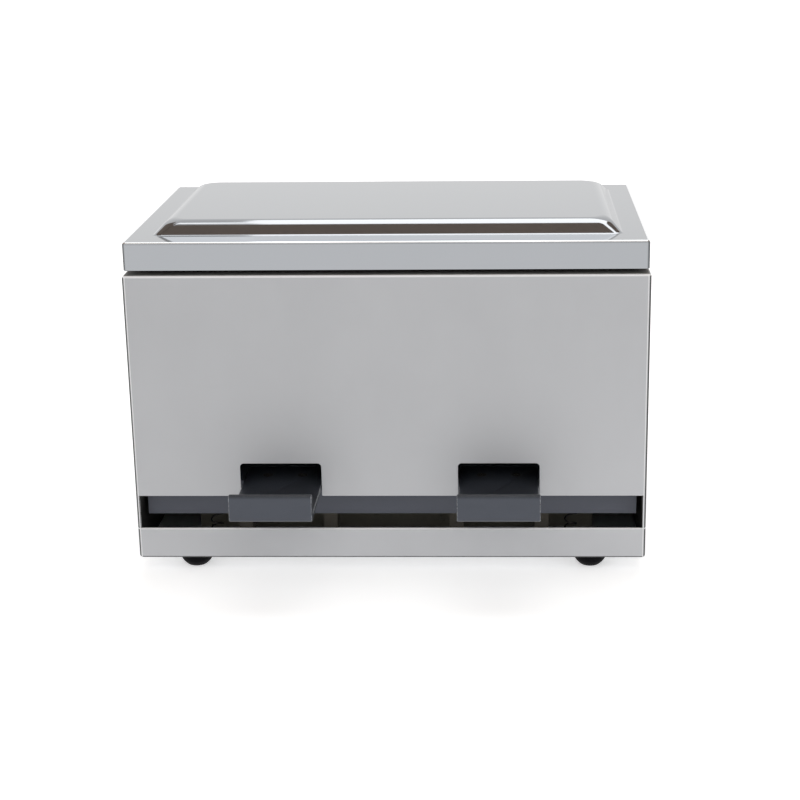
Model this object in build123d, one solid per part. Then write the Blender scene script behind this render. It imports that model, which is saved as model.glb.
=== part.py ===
"""Chopstick dispenser: a sheet-steel box with a flip lid, a hopper and a sprung tilting shelf.

Millimetres.  +X is to the right seen from the front, +Y goes from the front to the back, +Z is up.
The origin is on the table, under the middle of the part's bounding box.
"""
from math import acos, cos, degrees, hypot, radians, sin, sqrt, tan
import os

from build123d import *

# ---- The box -------------------------------------------------------------------------------------
BOX_WIDTH = 292.0  # outside the front panel and the base pan
BOX_DEPTH = 182.0  # front face to back face
FOOT_HEIGHT = 8.5
PAN_WALL = 18.4  # base pan, underside of the floor to the top of the wall
SLOT_HEIGHT = 19.7  # open slot between the base pan's wall and the front panel
PANEL_HEIGHT = 128.7
SHEET = 1.0
BEND_RADIUS = 1.8  # outside of every sheet bend
RETURN_DEPTH = 14.0  # the front and back panels' edges, folded in along the sides and the top
SIDE_FLANGE = 12.0  # the side panels' top edges, folded in
PAN_HEM = 6.0  # the front wall's top edge, folded down inside
HEM_FOLD = 0.9  # outside radius of that fold
SEAM_GAP = 0.2
OVERCUT = 1.0  # how far a cutting shape runs past what it cuts

# ---- The lid -------------------------------------------------------------------------------------
LID_GAP = 2.4  # daylight between the box and the lid's skirt
LID_SKIRT = 15.9
LID_INSET = 1.0  # how far the skirt stands back from the box at the front and the sides
LID_CORNER = 2.2
LID_EDGE = 1.4
LID_OPEN_ANGLE = 105.0
PLATEAU_SIDE = 14.0  # flat border beside the raised middle of the lid
PLATEAU_FRONT = 18.5
PLATEAU_RISE = 7.5
PLATEAU_RUN = 7.0  # how far the sloping sides lean in
PLATEAU_FOOT_CORNER = 4.5  # the corners are tighter at the foot of the slope than at its top
PLATEAU_TOP_CORNER = 9.0
PLATEAU_TOP_EDGE = 5.5
PLATEAU_FOOT_EDGE = 2.0
RIM_LEG = 10.0  # the lid's inner frame, up the skirt
RIM_FLANGE = 12.0  # and inwards over the box's top edges
BUMPER_RADIUS = 5.0
BUMPER_GAP = 0.2
BUMPER_BEHIND = 30.0  # lid bumpers, from the front and back of the lid

# ---- The hinge -----------------------------------------------------------------------------------
HINGE_LENGTH = 240.0
HINGE_KNUCKLES = 12
HINGE_PIN_RADIUS = 1.25
HINGE_FIT = 0.05
KNUCKLE_WALL = 1.0
KNUCKLE_GAP = 0.3
LEAF_HEIGHT = 14.0
LEAF_THICKNESS = 1.0
PIN_HEAD_RADIUS = 2.0
PIN_HEAD = 1.2
STOP_WIDTH = 14.0  # tabs curled over the hinge line, which stop the lid
STOP_CLEARANCE = 0.3
RIVETS_PER_LEAF = 5
RIVET_SPREAD = 210.0
RIVET_DROP = 9.0  # rivets, from the hinge's axis
RIVET_RADIUS = 1.5
RIVET_HEAD_RADIUS = 3.0
RIVET_HEAD = 1.4
RIVET_TAIL_RADIUS = 2.3
RIVET_TAIL = 1.0

# ---- Feet ----------------------------------------------------------------------------------------
FOOT_SIDE_INSET = 31.0  # centres of the feet, from the sides of the box
FOOT_INSET = 15.0  # and from its front and back faces
FOOT_RADIUS = 9.6
FOOT_WAIST_RADIUS = 8.8  # the dome's radius at FOOT_WAIST over the table
FOOT_WAIST = 3.5
FOOT_SOLE_RADIUS = 5.6
FOOT_RECESS = 3.4
FOOT_RECESS_RADIUS = 3.2
FOOT_SCREW_RADIUS = 1.5
FOOT_SCREW_HEAD_RADIUS = 2.75
FOOT_SCREW_HEAD = 1.8
WASHER_RADIUS = 4.5
WASHER = 0.8
NUT_ACROSS = 5.5
NUT = 2.4
SCREW_TIP = 1.0  # thread left showing past the nut

# ---- The tilting shelf and what carries it -------------------------------------------------------
SHELF_END_GAP = 3.0  # between the shelf and the side panels
SHELF_ABOVE_SLOT = 5.7  # the shelf's top, over the front panel's bottom edge
SHELF_FRONT = 10.0  # the shelf's front face, behind the front face of the box
SHELF_REAR = 50.0
SHELF_WALL = 2.5
BEAM_HEIGHT = 20.0
APRON_DROP = 7.0  # the curved rear wall's bottom edge, under the pivot
GUSSET = 2.0
GUSSET_OFF_MIDDLE = 15.0
GUSSET_OFF_SPRING = 9.0
GUSSET_REACH = 11.0
PRESS_ANGLE = 28.0
PIVOT_BEHIND = 31.0
POST_STRADDLE = 50.0  # between the centres of the two posts that carry one lever
POST_WIDTH = 8.0
POST_DEPTH = 12.0
POST_GAP = 1.0  # between the posts' round tops and the levers
POST_SCREW_RADIUS = 1.5
POST_SCREW_LENGTH = 12.0
POST_SCREW_HEAD_RADIUS = 2.75
POST_SCREW_HEAD = 1.8
ROD_RADIUS = 2.0
ROD_FIT = 0.03
ROD_OVERHANG = 3.0
CLIP = 0.8
CLIP_RADIUS = 4.0
CLIP_GROOVE = 0.35
BUSH_WALL = 1.0
BUSH_FLANGE = 0.7
BUSH_FLANGE_RADIUS = 4.2
BUSH_END_GAP = 0.3
LUG_WIDTH = 5.0
LUG_WALL = 2.5

# ---- The two levers ------------------------------------------------------------------------------
LEVER_SPREAD = 124.0  # between the centres of the two levers
LEVER_WIDTH = 45.4
LEVER_REACH = 51.0  # how far the levers stand out in front of the box
LEVER_THICKNESS = 2.8
LEVER_ROOT = 36.0  # the lever's rear end, behind the front face of the box
LEVER_LIP = 15.0
LEVER_LIP_WALL = 5.0
LEVER_INNER_RADIUS = 3.0
LEVER_RIB = 2.0
LEVER_RIB_DEPTH = 4.0
LEVER_SIDE_GAP = 0.2
NOTCH_SIDE_GAP = 0.5
NOTCH_HEIGHT = 19.5
NOTCH_CORNER = 2.2
NOTCH_FLARE = 0.6
LEVER_SCREW_SPREAD = 20.0
LEVER_SCREW_BEHIND = 20.0
LEVER_SCREW_RADIUS = 1.5
LEVER_SCREW_HEAD_RADIUS = 2.9
LEVER_SCREW_HEAD = 1.6
LEVER_SCREW_LENGTH = 9.0
SCREW_BOSS = 5.0
SCREW_BOSS_WALL = 1.7
SCREW_SLOT = 0.7

# ---- Springs -------------------------------------------------------------------------------------
SPRING_BESIDE = 17.0  # from the centre of the outer post
SPRING_BEHIND = 25.0
SPRING_RADIUS = 3.4  # to the middle of the wire
SPRING_WIRE = 1.0
SPRING_TURNS = 9
SEAT_RADIUS = 5.2
SEAT = 1.5
SEAT_PEG = 3.0
SPRING_GAP = 0.2

# ---- The rail the shelf comes to rest on ---------------------------------------------------------
RAIL_SHORT = 23.0  # the rail stops this far inside the ends of the shelf
RAIL_FOOT = 12.0
CUSHION = 2.9
CUSHION_GRIP = 3.0
CUSHION_WALL = 1.0
CUSHION_GAP = 0.2

# ---- Hopper plates -------------------------------------------------------------------------------
HOPPER_SLOPE = 20.0  # degrees
HOPPER_STEP = 1.2  # the hopper's front edge stands this much over the shelf
HOPPER_EDGE_GAP = 0.8
HOPPER_APRON = 17.0
HOPPER_SIDE_FLANGE = 8.0
HOPPER_REAR_FLANGE = 14.0
BAFFLE_CLEAR = 9.2  # one layer of sticks passes between the baffle and the shelf
BAFFLE_BEHIND = 30.0
BAFFLE_RISE = 38.0
BAFFLE_FLANGE = 12.0
BAFFLE_HEM = 1.5

# ---- Levels and planes worked out from the sizes above -------------------------------------------
INSIDE_BEND = BEND_RADIUS - SHEET
PAN_BOTTOM = FOOT_HEIGHT
PAN_FLOOR = PAN_BOTTOM + SHEET
PAN_TOP = PAN_BOTTOM + PAN_WALL
PANEL_BOTTOM = PAN_TOP + SLOT_HEIGHT
BODY_TOP = PANEL_BOTTOM + PANEL_HEIGHT
SKIRT_BOTTOM = BODY_TOP + LID_GAP
LID_TOP = SKIRT_BOTTOM + LID_SKIRT

KNUCKLE_RADIUS = HINGE_PIN_RADIUS + HINGE_FIT + KNUCKLE_WALL
STOP_INNER = KNUCKLE_RADIUS + 2 * KNUCKLE_GAP
STOP_OUTER = STOP_INNER + LEAF_THICKNESS
HINGE_OUT = KNUCKLE_RADIUS + STOP_OUTER  # how far the hinge stands out behind the box

FRONT = (LEVER_REACH - BOX_DEPTH - HINGE_OUT) / 2
BACK = FRONT + BOX_DEPTH
HALF_WIDTH = BOX_WIDTH / 2
SIDE_FACE = HALF_WIDTH - SHEET  # outer face of the side panels
INNER_SIDE = SIDE_FACE - SHEET
LID_HALF = HALF_WIDTH - LID_INSET
LID_FRONT = FRONT + LID_INSET
HINGE_Y = BACK + KNUCKLE_RADIUS
HINGE_Z = BODY_TOP + LID_GAP / 2

SHELF_HALF = INNER_SIDE - SHELF_END_GAP
SHELF_TOP = PANEL_BOTTOM + SHELF_ABOVE_SLOT
SHELF_UNDER = SHELF_TOP - LEVER_THICKNESS
PIVOT_Y = FRONT + PIVOT_BEHIND
PIVOT_Z = SHELF_UNDER - POST_GAP - POST_DEPTH / 2
OUTER_POST = (LEVER_SPREAD + POST_STRADDLE) / 2
SPRING_X = OUTER_POST + SPRING_BESIDE
APRON_RADIUS = hypot(SHELF_REAR - PIVOT_BEHIND, SHELF_TOP - PIVOT_Z)
APRON_BOTTOM = PIVOT_Z - APRON_DROP
RECESS_UNDER = SHELF_UNDER - SHELF_WALL
BUSH_RADIUS = ROD_RADIUS + HINGE_FIT + BUSH_WALL
LUG_RADIUS = BUSH_RADIUS + LUG_WALL
RAIL_HALF = SHELF_HALF - RAIL_SHORT

HOPPER_EDGE_Y = PIVOT_Y + APRON_RADIUS + HOPPER_EDGE_GAP
HOPPER_EDGE_Z = SHELF_TOP + HOPPER_STEP
HOPPER_BACK_Z = HOPPER_EDGE_Z + (BACK - SHEET - HOPPER_EDGE_Y) * tan(radians(HOPPER_SLOPE))


def block(x0, x1, y0, y1, z0, z1):
    """A box between two values on each axis."""
    centre = Pos((x0 + x1) / 2, (y0 + y1) / 2, (z0 + z1) / 2)
    return centre * Box(abs(x1 - x0), abs(y1 - y0), abs(z1 - z0))


def rod_x(radius, x0, x1, y, z):
    """A cylinder along X."""
    return Pos((x0 + x1) / 2, y, z) * Rot(0, 90, 0) * Cylinder(radius, abs(x1 - x0))


def rod_z(radius, z0, z1, x, y):
    """An upright cylinder."""
    return Pos(x, y, (z0 + z1) / 2) * Cylinder(radius, abs(z1 - z0))


def across(points, x0, x1):
    """A (y, z) outline carried across from x0 to x1."""
    outline = Plane.YZ.offset(x0) * make_face(Polyline(*points, close=True))
    return extrude(outline, x1 - x0)


def edges_on(solid, *conditions):
    """The straight edges whose middle lies on every given (axis, value) plane."""
    picked = solid.edges().filter_by(GeomType.LINE)
    for axis, value in conditions:
        picked = picked.filter_by(lambda e: abs(getattr(e.center(), axis) - value) < 1e-4)
    return picked


def folded_panel(face_y, inner_y, z0, z1):
    """A panel whose two sides and top are folded back to inner_y."""
    inward = 1 if inner_y > face_y else -1
    outer = block(-HALF_WIDTH, HALF_WIDTH, face_y, inner_y, z0, z1)
    hollow = block(
        -SIDE_FACE, SIDE_FACE, face_y + inward * SHEET, inner_y + inward * OVERCUT,
        z0 - OVERCUT, z1 - SHEET,
    )
    shapes = []
    for solid, half, y, top, radius in (
        (outer, HALF_WIDTH, face_y, z1, BEND_RADIUS),
        (hollow, SIDE_FACE, face_y + inward * SHEET, z1 - SHEET, INSIDE_BEND),
    ):
        bends = edges_on(solid, ("Y", y), ("Z", top))
        for side in (-half, half):
            bends += edges_on(solid, ("X", side), ("Y", y)) + edges_on(solid, ("X", side), ("Z", top))
        shapes.append(fillet(bends, radius))
    return shapes[0] - shapes[1]


# ---- Sheet-metal body ----------------------------------------------------------------------------
def base_pan():
    """Shallow welded pan that the whole box stands in; its front wall is the lip under the slot."""
    outer = block(-HALF_WIDTH, HALF_WIDTH, FRONT, BACK, PAN_BOTTOM, PAN_TOP)
    outer = fillet(outer.edges().filter_by(Axis.Z) + outer.edges().group_by(Axis.Z)[0], BEND_RADIUS)
    inner = block(-SIDE_FACE, SIDE_FACE, FRONT + SHEET, BACK - SHEET, PAN_FLOOR, PAN_TOP + OVERCUT)
    inner = fillet(inner.edges().filter_by(Axis.Z) + inner.edges().group_by(Axis.Z)[0], INSIDE_BEND)
    hem_half = INNER_SIDE - BEND_RADIUS
    hem = block(-hem_half, hem_half, FRONT + SHEET, FRONT + 2 * SHEET, PAN_TOP - PAN_HEM, PAN_TOP)
    pan = outer - inner + hem
    fold = edges_on(pan, ("Y", FRONT), ("Z", PAN_TOP))
    fold += edges_on(pan, ("Y", FRONT + 2 * SHEET), ("Z", PAN_TOP))
    pan = fillet(fold, HEM_FOLD)
    through = (PAN_BOTTOM - OVERCUT, PAN_FLOOR + OVERCUT)
    for x, y in foot_places():
        pan -= rod_z(FOOT_SCREW_RADIUS + ROD_FIT, *through, x, y)
    for x in post_places():
        pan -= rod_z(POST_SCREW_RADIUS + ROD_FIT, *through, x, PIVOT_Y)
    return pan


def front_panel():
    """Front sheet down to the pan, with the slot cut across it and a notch over each lever."""
    panel = folded_panel(FRONT, FRONT + RETURN_DEPTH, PAN_TOP, BODY_TOP)
    slot_half = HALF_WIDTH - BEND_RADIUS
    panel -= block(
        -slot_half, slot_half, FRONT - OVERCUT, FRONT + SHEET + OVERCUT, PAN_TOP - OVERCUT, PANEL_BOTTOM
    )
    half = LEVER_WIDTH / 2 + NOTCH_SIDE_GAP
    top = PANEL_BOTTOM + NOTCH_HEIGHT
    for x in lever_places():
        notch = block(
            x - half, x + half, FRONT - OVERCUT, FRONT + SHEET + OVERCUT, PANEL_BOTTOM - OVERCUT, top
        )
        panel -= fillet(notch.edges().filter_by(Axis.Y).group_by(Axis.Z)[-1], NOTCH_CORNER)
    corners = panel.edges().filter_by(Axis.Y).filter_by_position(
        Axis.Z, PANEL_BOTTOM - 0.1, PANEL_BOTTOM + 0.1
    )
    corners = corners.filter_by(lambda e: abs(e.center().X) < SIDE_FACE - SHEET)
    return fillet(corners, NOTCH_FLARE)


def back_panel():
    """Back sheet, seam-welded to the top of the base pan's rear wall."""
    panel = folded_panel(BACK, BACK - RETURN_DEPTH, PAN_TOP, BODY_TOP)
    for x in rivet_places():
        panel -= Pos(x, BACK, HINGE_Z - RIVET_DROP) * Rot(-90, 0, 0) * Cylinder(
            RIVET_RADIUS + ROD_FIT, 3 * SHEET
        )
    return panel


def side_panel(side):
    """Side sheet, lapped inside the folded edges of its neighbours; its top edge is folded in."""
    ends = (FRONT + BEND_RADIUS, BACK - BEND_RADIUS)
    flange_ends = (FRONT + RETURN_DEPTH + SEAM_GAP, BACK - RETURN_DEPTH - SEAM_GAP)
    wall_top = BODY_TOP - BEND_RADIUS
    wall = block(INNER_SIDE, SIDE_FACE, *ends, PAN_BOTTOM + BEND_RADIUS, wall_top)
    inner_edge = SIDE_FACE - SIDE_FLANGE
    bend = block(inner_edge, SIDE_FACE, *flange_ends, wall_top - BEND_RADIUS, BODY_TOP)
    bend = fillet(edges_on(bend, ("X", SIDE_FACE), ("Z", BODY_TOP)), BEND_RADIUS)
    hollow = block(
        inner_edge - OVERCUT, INNER_SIDE, flange_ends[0] - OVERCUT, flange_ends[1] + OVERCUT,
        wall_top - BEND_RADIUS - OVERCUT, BODY_TOP - SHEET,
    )
    hollow = fillet(edges_on(hollow, ("X", INNER_SIDE), ("Z", BODY_TOP - SHEET)), INSIDE_BEND)
    panel = wall + (bend - hollow)
    return panel if side > 0 else mirror(panel, Plane.YZ)


# ---- Hopper --------------------------------------------------------------------------------------
def hopper_floor():
    """Sloping floor that rolls the sticks down to the shelf."""
    slope = tan(radians(HOPPER_SLOPE))
    rise = SHEET / cos(radians(HOPPER_SLOPE))
    y0 = HOPPER_EDGE_Y
    y1 = BACK - SHEET
    outline = (
        (y0, HOPPER_EDGE_Z - HOPPER_APRON),
        (y0, HOPPER_EDGE_Z),
        (y1 - SHEET, HOPPER_BACK_Z - SHEET * slope),
        (y1 - SHEET, HOPPER_BACK_Z + HOPPER_REAR_FLANGE),
        (y1, HOPPER_BACK_Z + HOPPER_REAR_FLANGE),
        (y1, HOPPER_BACK_Z - rise),
        (y0 + SHEET, HOPPER_EDGE_Z + SHEET * slope - rise),
        (y0 + SHEET, HOPPER_EDGE_Z - HOPPER_APRON),
    )
    plate = across(outline, -INNER_SIDE, INNER_SIDE)
    flange = (
        (y0 + SHEET, HOPPER_EDGE_Z - rise),
        (y1 - RETURN_DEPTH, HOPPER_BACK_Z - RETURN_DEPTH * slope - rise),
        (y1 - RETURN_DEPTH, HOPPER_BACK_Z - RETURN_DEPTH * slope - rise - HOPPER_SIDE_FLANGE),
        (y0 + SHEET, HOPPER_EDGE_Z - rise - HOPPER_SIDE_FLANGE),
    )
    plate += across(flange, -INNER_SIDE, -INNER_SIDE + SHEET)
    plate += across(flange, INNER_SIDE - SHEET, INNER_SIDE)
    return plate


def metering_baffle():
    """Sloping plate behind the front panel that lets one layer of sticks through to the shelf."""
    face = FRONT + SHEET
    hem_y = FRONT + BAFFLE_BEHIND
    hem_z = SHELF_TOP + BAFFLE_CLEAR + BAFFLE_HEM
    knee_z = hem_z + BAFFLE_RISE
    fall = BAFFLE_RISE / (hem_y - face)
    thick = SHEET * hypot(1, fall)  # the sloping sheet, measured upright
    outline = (
        (face, knee_z),
        (face, knee_z + BAFFLE_FLANGE),
        (face + SHEET, knee_z + BAFFLE_FLANGE),
        (face + SHEET, knee_z + thick - SHEET * fall),
        (hem_y, hem_z + thick),
        (hem_y, hem_z),
    )
    plate = across(outline, -INNER_SIDE, INNER_SIDE)
    return plate + rod_x(BAFFLE_HEM, -INNER_SIDE, INNER_SIDE, hem_y, hem_z)


# ---- Pivot ---------------------------------------------------------------------------------------
def post_places():
    return [x + side * POST_STRADDLE / 2 for x in lever_places() for side in (-1, 1)]


def pivot_post(x):
    """Moulded post with a round top that carries the pivot rod."""
    half = POST_DEPTH / 2
    ends = (x - POST_WIDTH / 2, x + POST_WIDTH / 2)
    post = block(*ends, PIVOT_Y - half, PIVOT_Y + half, PAN_FLOOR, PIVOT_Z)
    post += rod_x(half, *ends, PIVOT_Y, PIVOT_Z)
    post -= rod_x(ROD_RADIUS + ROD_FIT, ends[0] - OVERCUT, ends[1] + OVERCUT, PIVOT_Y, PIVOT_Z)
    hole_top = PAN_BOTTOM + POST_SCREW_LENGTH + OVERCUT
    return post - rod_z(POST_SCREW_RADIUS + ROD_FIT, PAN_FLOOR - OVERCUT, hole_top, x, PIVOT_Y)


def pan_head_screw(radius, length, head_radius, head):
    """Round-headed screw standing on its head at z = 0, shank upwards."""
    top = fillet(rod_z(head_radius, -head, 0, 0, 0).edges().group_by(Axis.Z)[0], head * 0.4)
    shank = chamfer(rod_z(radius, 0, length, 0, 0).edges().group_by(Axis.Z)[-1], radius * 0.3)
    arm = head_radius * 0.6
    slot = block(-arm, arm, -SCREW_SLOT / 2, SCREW_SLOT / 2, -head - OVERCUT, -head * 0.5)
    return top + shank - slot


def post_screws():
    screw = pan_head_screw(
        POST_SCREW_RADIUS, POST_SCREW_LENGTH, POST_SCREW_HEAD_RADIUS, POST_SCREW_HEAD
    )
    return [Pos(x, PIVOT_Y, PAN_BOTTOM) * screw for x in post_places()]


def clip_planes():
    """Inner faces of the two retaining clips."""
    outer = OUTER_POST + POST_WIDTH / 2 + SEAM_GAP
    return ((-outer - CLIP, -outer), (outer, outer + CLIP))


def pivot_rod():
    half = OUTER_POST + POST_WIDTH / 2 + ROD_OVERHANG
    rod = chamfer(rod_x(ROD_RADIUS, -half, half, PIVOT_Y, PIVOT_Z).edges(), CLIP_GROOVE)
    for ends in clip_planes():
        rod -= rod_x(ROD_RADIUS + OVERCUT, *ends, PIVOT_Y, PIVOT_Z) - rod_x(
            ROD_RADIUS - CLIP_GROOVE, *ends, PIVOT_Y, PIVOT_Z
        )
    return rod


def rod_clips():
    """Open spring clips in the rod's grooves."""
    clips = []
    for ends in clip_planes():
        hole = ROD_RADIUS - CLIP_GROOVE
        clip = rod_x(CLIP_RADIUS, *ends, PIVOT_Y, PIVOT_Z) - rod_x(hole, *ends, PIVOT_Y, PIVOT_Z)
        mouth = hole * 0.85
        clips.append(clip - block(
            *ends, PIVOT_Y - mouth, PIVOT_Y + mouth, PIVOT_Z - CLIP_RADIUS - OVERCUT, PIVOT_Z
        ))
    return clips


def lug_faces():
    """For each lug on the shelf: its face beside a post, and its far face."""
    faces = []
    for x in lever_places():
        for post in sorted(post_places(), key=lambda p: abs(p - x))[:2]:
            away = 1 if x > post else -1
            near = post + away * (POST_WIDTH / 2 + BUSH_FLANGE + BUSH_END_GAP)
            faces.append((near, near + away * LUG_WIDTH))
    return faces


def pivot_bushes():
    """Flanged bushes, pressed into the shelf's lugs and turning on the rod."""
    bore = ROD_RADIUS + HINGE_FIT
    bushes = []
    for near, far in lug_faces():
        flange_end = near + (BUSH_FLANGE if near > far else -BUSH_FLANGE)
        bush = rod_x(BUSH_RADIUS, near, far, PIVOT_Y, PIVOT_Z)
        bush += rod_x(BUSH_FLANGE_RADIUS, near, flange_end, PIVOT_Y, PIVOT_Z)
        bushes.append(bush - rod_x(bore, near, far, PIVOT_Y, PIVOT_Z) - rod_x(
            bore, near, flange_end, PIVOT_Y, PIVOT_Z
        ))
    return bushes


# ---- Shelf and levers ----------------------------------------------------------------------------
def lever_places():
    return (-LEVER_SPREAD / 2, LEVER_SPREAD / 2)


def lever_screw_places():
    return [(x + side * LEVER_SCREW_SPREAD / 2) for x in lever_places() for side in (-1, 1)]


def dispensing_shelf():
    """Moulded shelf: top plate, front beam, and a rear wall curved about the pivot."""
    ends = (-SHELF_HALF, SHELF_HALF)
    front = FRONT + SHELF_FRONT
    shelf = block(*ends, front, FRONT + SHELF_REAR, SHELF_UNDER, SHELF_TOP)
    shelf += block(*ends, front, front + SHELF_WALL, SHELF_TOP - BEAM_HEIGHT, SHELF_TOP)
    drum = rod_x(APRON_RADIUS, *ends, PIVOT_Y, PIVOT_Z)
    drum -= rod_x(
        APRON_RADIUS - SHELF_WALL, ends[0] - OVERCUT, ends[1] + OVERCUT, PIVOT_Y, PIVOT_Z
    )
    shelf += drum & block(*ends, PIVOT_Y, PIVOT_Y + 2 * APRON_RADIUS, APRON_BOTTOM, SHELF_TOP)
    for x in gusset_places():
        shelf += shelf_gusset(x, front)
    cut = LEVER_WIDTH / 2 + LEVER_SIDE_GAP
    lever_end = FRONT + LEVER_ROOT + LEVER_SIDE_GAP
    for x in lever_places():
        shelf -= block(
            x - cut, x + cut, front - OVERCUT, lever_end, SHELF_UNDER, SHELF_TOP + OVERCUT
        )
    for near, far in lug_faces():
        shelf += shelf_lug(near, far)
    for x in lever_places():
        inner = min(abs(near - x) for near, far in lug_faces())
        rear_tie = lever_end + 3 * SHELF_WALL
        shelf += block(x - inner, x + inner, front, rear_tie, RECESS_UNDER, SHELF_UNDER)
    y = FRONT + LEVER_SCREW_BEHIND
    boss_end = RECESS_UNDER - SCREW_BOSS
    for x in lever_screw_places():
        shelf += rod_z(LEVER_SCREW_RADIUS + SCREW_BOSS_WALL, boss_end, RECESS_UNDER, x, y)
        shelf -= rod_z(LEVER_SCREW_RADIUS + ROD_FIT, boss_end - OVERCUT, SHELF_TOP, x, y)
    for near, far in lug_faces():
        shelf -= rod_x(BUSH_RADIUS, near, far, PIVOT_Y, PIVOT_Z)
    return shelf


def gusset_places():
    """Each side of the middle, and each side of both springs."""
    right = (GUSSET_OFF_MIDDLE, SPRING_X - GUSSET_OFF_SPRING, SPRING_X + GUSSET_OFF_SPRING)
    return [side * x for x in right for side in (-1, 1)]


def shelf_gusset(x, front):
    """Corner web between the beam and the plate."""
    inner = front + SHELF_WALL
    corners = (
        (inner, SHELF_UNDER),
        (inner + GUSSET_REACH, SHELF_UNDER),
        (inner, SHELF_TOP - BEAM_HEIGHT + SHELF_WALL),
    )
    return across(corners, x - GUSSET / 2, x + GUSSET / 2)


def shelf_lug(near, far):
    lug = block(near, far, PIVOT_Y - LUG_RADIUS, PIVOT_Y + LUG_RADIUS, PIVOT_Z, SHELF_UNDER)
    return lug + rod_x(LUG_RADIUS, near, far, PIVOT_Y, PIVOT_Z)


def press_lever(x):
    """Flat arm through the notch, with an upturned lip that cradles the sticks."""
    half = LEVER_WIDTH / 2
    tip = FRONT - LEVER_REACH
    inner = tip + LEVER_LIP_WALL
    lever = block(x - half, x + half, tip, FRONT + LEVER_ROOT, SHELF_UNDER, SHELF_TOP)
    lever += block(x - half, x + half, tip, inner, SHELF_UNDER, SHELF_UNDER + LEVER_LIP)
    lever = fillet(edges_on(lever, ("Y", inner), ("Z", SHELF_TOP)), LEVER_INNER_RADIUS)
    lip_top = SHELF_UNDER + LEVER_LIP
    rounded = edges_on(lever, ("Y", tip), ("Z", lip_top))
    rounded += edges_on(lever, ("Y", inner), ("Z", lip_top))
    lever = fillet(rounded, LEVER_LIP_WALL * 0.45)
    lever = fillet(edges_on(lever, ("Y", tip), ("Z", SHELF_UNDER)), LEVER_LIP_WALL * 0.3)
    for side in (-1, 1):
        rib_x = x + side * (half - 2 * LEVER_RIB)
        lever += across(
            (
                (inner, SHELF_UNDER),
                (FRONT - 2 * SHEET, SHELF_UNDER),
                (FRONT - 2 * SHEET - LEVER_RIB_DEPTH, SHELF_UNDER - LEVER_RIB_DEPTH),
                (inner + 2 * LEVER_RIB_DEPTH, SHELF_UNDER - LEVER_RIB_DEPTH),
            ),
            rib_x - LEVER_RIB / 2,
            rib_x + LEVER_RIB / 2,
        )
    for screw_x in lever_screw_places():
        if abs(screw_x - x) < half:
            lever -= Pos(screw_x, FRONT + LEVER_SCREW_BEHIND, SHELF_TOP) * sunk_screw(ROD_FIT)
    return lever


def sunk_screw(extra=0.0):
    """Countersunk screw with its flat top at z = 0, or with extra its hole."""
    cone = Pos(0, 0, -LEVER_SCREW_HEAD / 2) * Cone(
        LEVER_SCREW_RADIUS + extra, LEVER_SCREW_HEAD_RADIUS + extra, LEVER_SCREW_HEAD
    )
    return cone + rod_z(LEVER_SCREW_RADIUS + extra, -LEVER_SCREW_LENGTH, -LEVER_SCREW_HEAD, 0, 0)


def lever_screws():
    arm = LEVER_SCREW_HEAD_RADIUS * 0.6
    cross = block(-arm, arm, -SCREW_SLOT / 2, SCREW_SLOT / 2, -LEVER_SCREW_HEAD / 2, OVERCUT)
    screw = sunk_screw() - cross - Rot(0, 0, 90) * cross
    return [Pos(x, FRONT + LEVER_SCREW_BEHIND, SHELF_TOP) * screw for x in lever_screw_places()]


# ---- Springs and rest rail -----------------------------------------------------------------------
def return_spring(x):
    """Compression spring with ground ends between its seat and the shelf."""
    bottom = PAN_FLOOR + SEAT
    top = SHELF_UNDER - SPRING_GAP
    y = FRONT + SPRING_BEHIND
    helix = Helix((top - bottom) / SPRING_TURNS, top - bottom + SPRING_WIRE, SPRING_RADIUS)
    path = Pos(x, y, bottom - SPRING_WIRE / 2) * helix
    section = Plane(path @ 0, z_dir=path % 0) * Circle(SPRING_WIRE / 2)
    wire = sweep(section, path, is_frenet=True)
    reach = SPRING_RADIUS + SPRING_WIRE
    return wire & block(x - reach, x + reach, y - reach, y + reach, bottom, top)


def spring_seats():
    """Discs on the pan's floor with a peg inside each spring."""
    peg = SPRING_RADIUS - SPRING_WIRE / 2 - SPRING_GAP
    y = FRONT + SPRING_BEHIND
    seats = []
    for x in spring_places():
        seat = rod_z(SEAT_RADIUS, PAN_FLOOR, PAN_FLOOR + SEAT, x, y)
        seats.append(seat + rod_z(peg, PAN_FLOOR + SEAT, PAN_FLOOR + SEAT + SEAT_PEG, x, y))
    return seats


def spring_places():
    return (-SPRING_X, SPRING_X)


def rail_y():
    """Middle of the rail's upright, under the bottom edge of the shelf's curved wall."""
    return PIVOT_Y + sqrt((APRON_RADIUS - SHELF_WALL / 2) ** 2 - APRON_DROP**2)


def rest_rail():
    """Angle across the pan's floor that stops the shelf at rest."""
    y0 = rail_y() - SHEET / 2
    top = APRON_BOTTOM - CUSHION_GAP - (CUSHION - CUSHION_WALL)
    upright = block(-RAIL_HALF, RAIL_HALF, y0, y0 + SHEET, PAN_FLOOR, top)
    return upright + block(-RAIL_HALF, RAIL_HALF, y0, y0 + RAIL_FOOT, PAN_FLOOR, PAN_FLOOR + SHEET)


def rail_cushion():
    """Rubber channel pushed over the rail's top edge."""
    half = SHEET / 2 + CUSHION_WALL
    top = APRON_BOTTOM - CUSHION_GAP
    rail_top = top - (CUSHION - CUSHION_WALL)
    y = rail_y()
    bottom = rail_top - CUSHION_GRIP
    cushion = block(-RAIL_HALF, RAIL_HALF, y - half, y + half, bottom, top)
    groove = block(
        -RAIL_HALF - OVERCUT, RAIL_HALF + OVERCUT, y - SHEET / 2, y + SHEET / 2,
        bottom - OVERCUT, rail_top,
    )
    return cushion - groove


# ---- Feet ----------------------------------------------------------------------------------------
def foot_places():
    return [
        (side * (HALF_WIDTH - FOOT_SIDE_INSET), y)
        for y in (FRONT + FOOT_INSET, BACK - FOOT_INSET)
        for side in (-1, 1)
    ]


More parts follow.
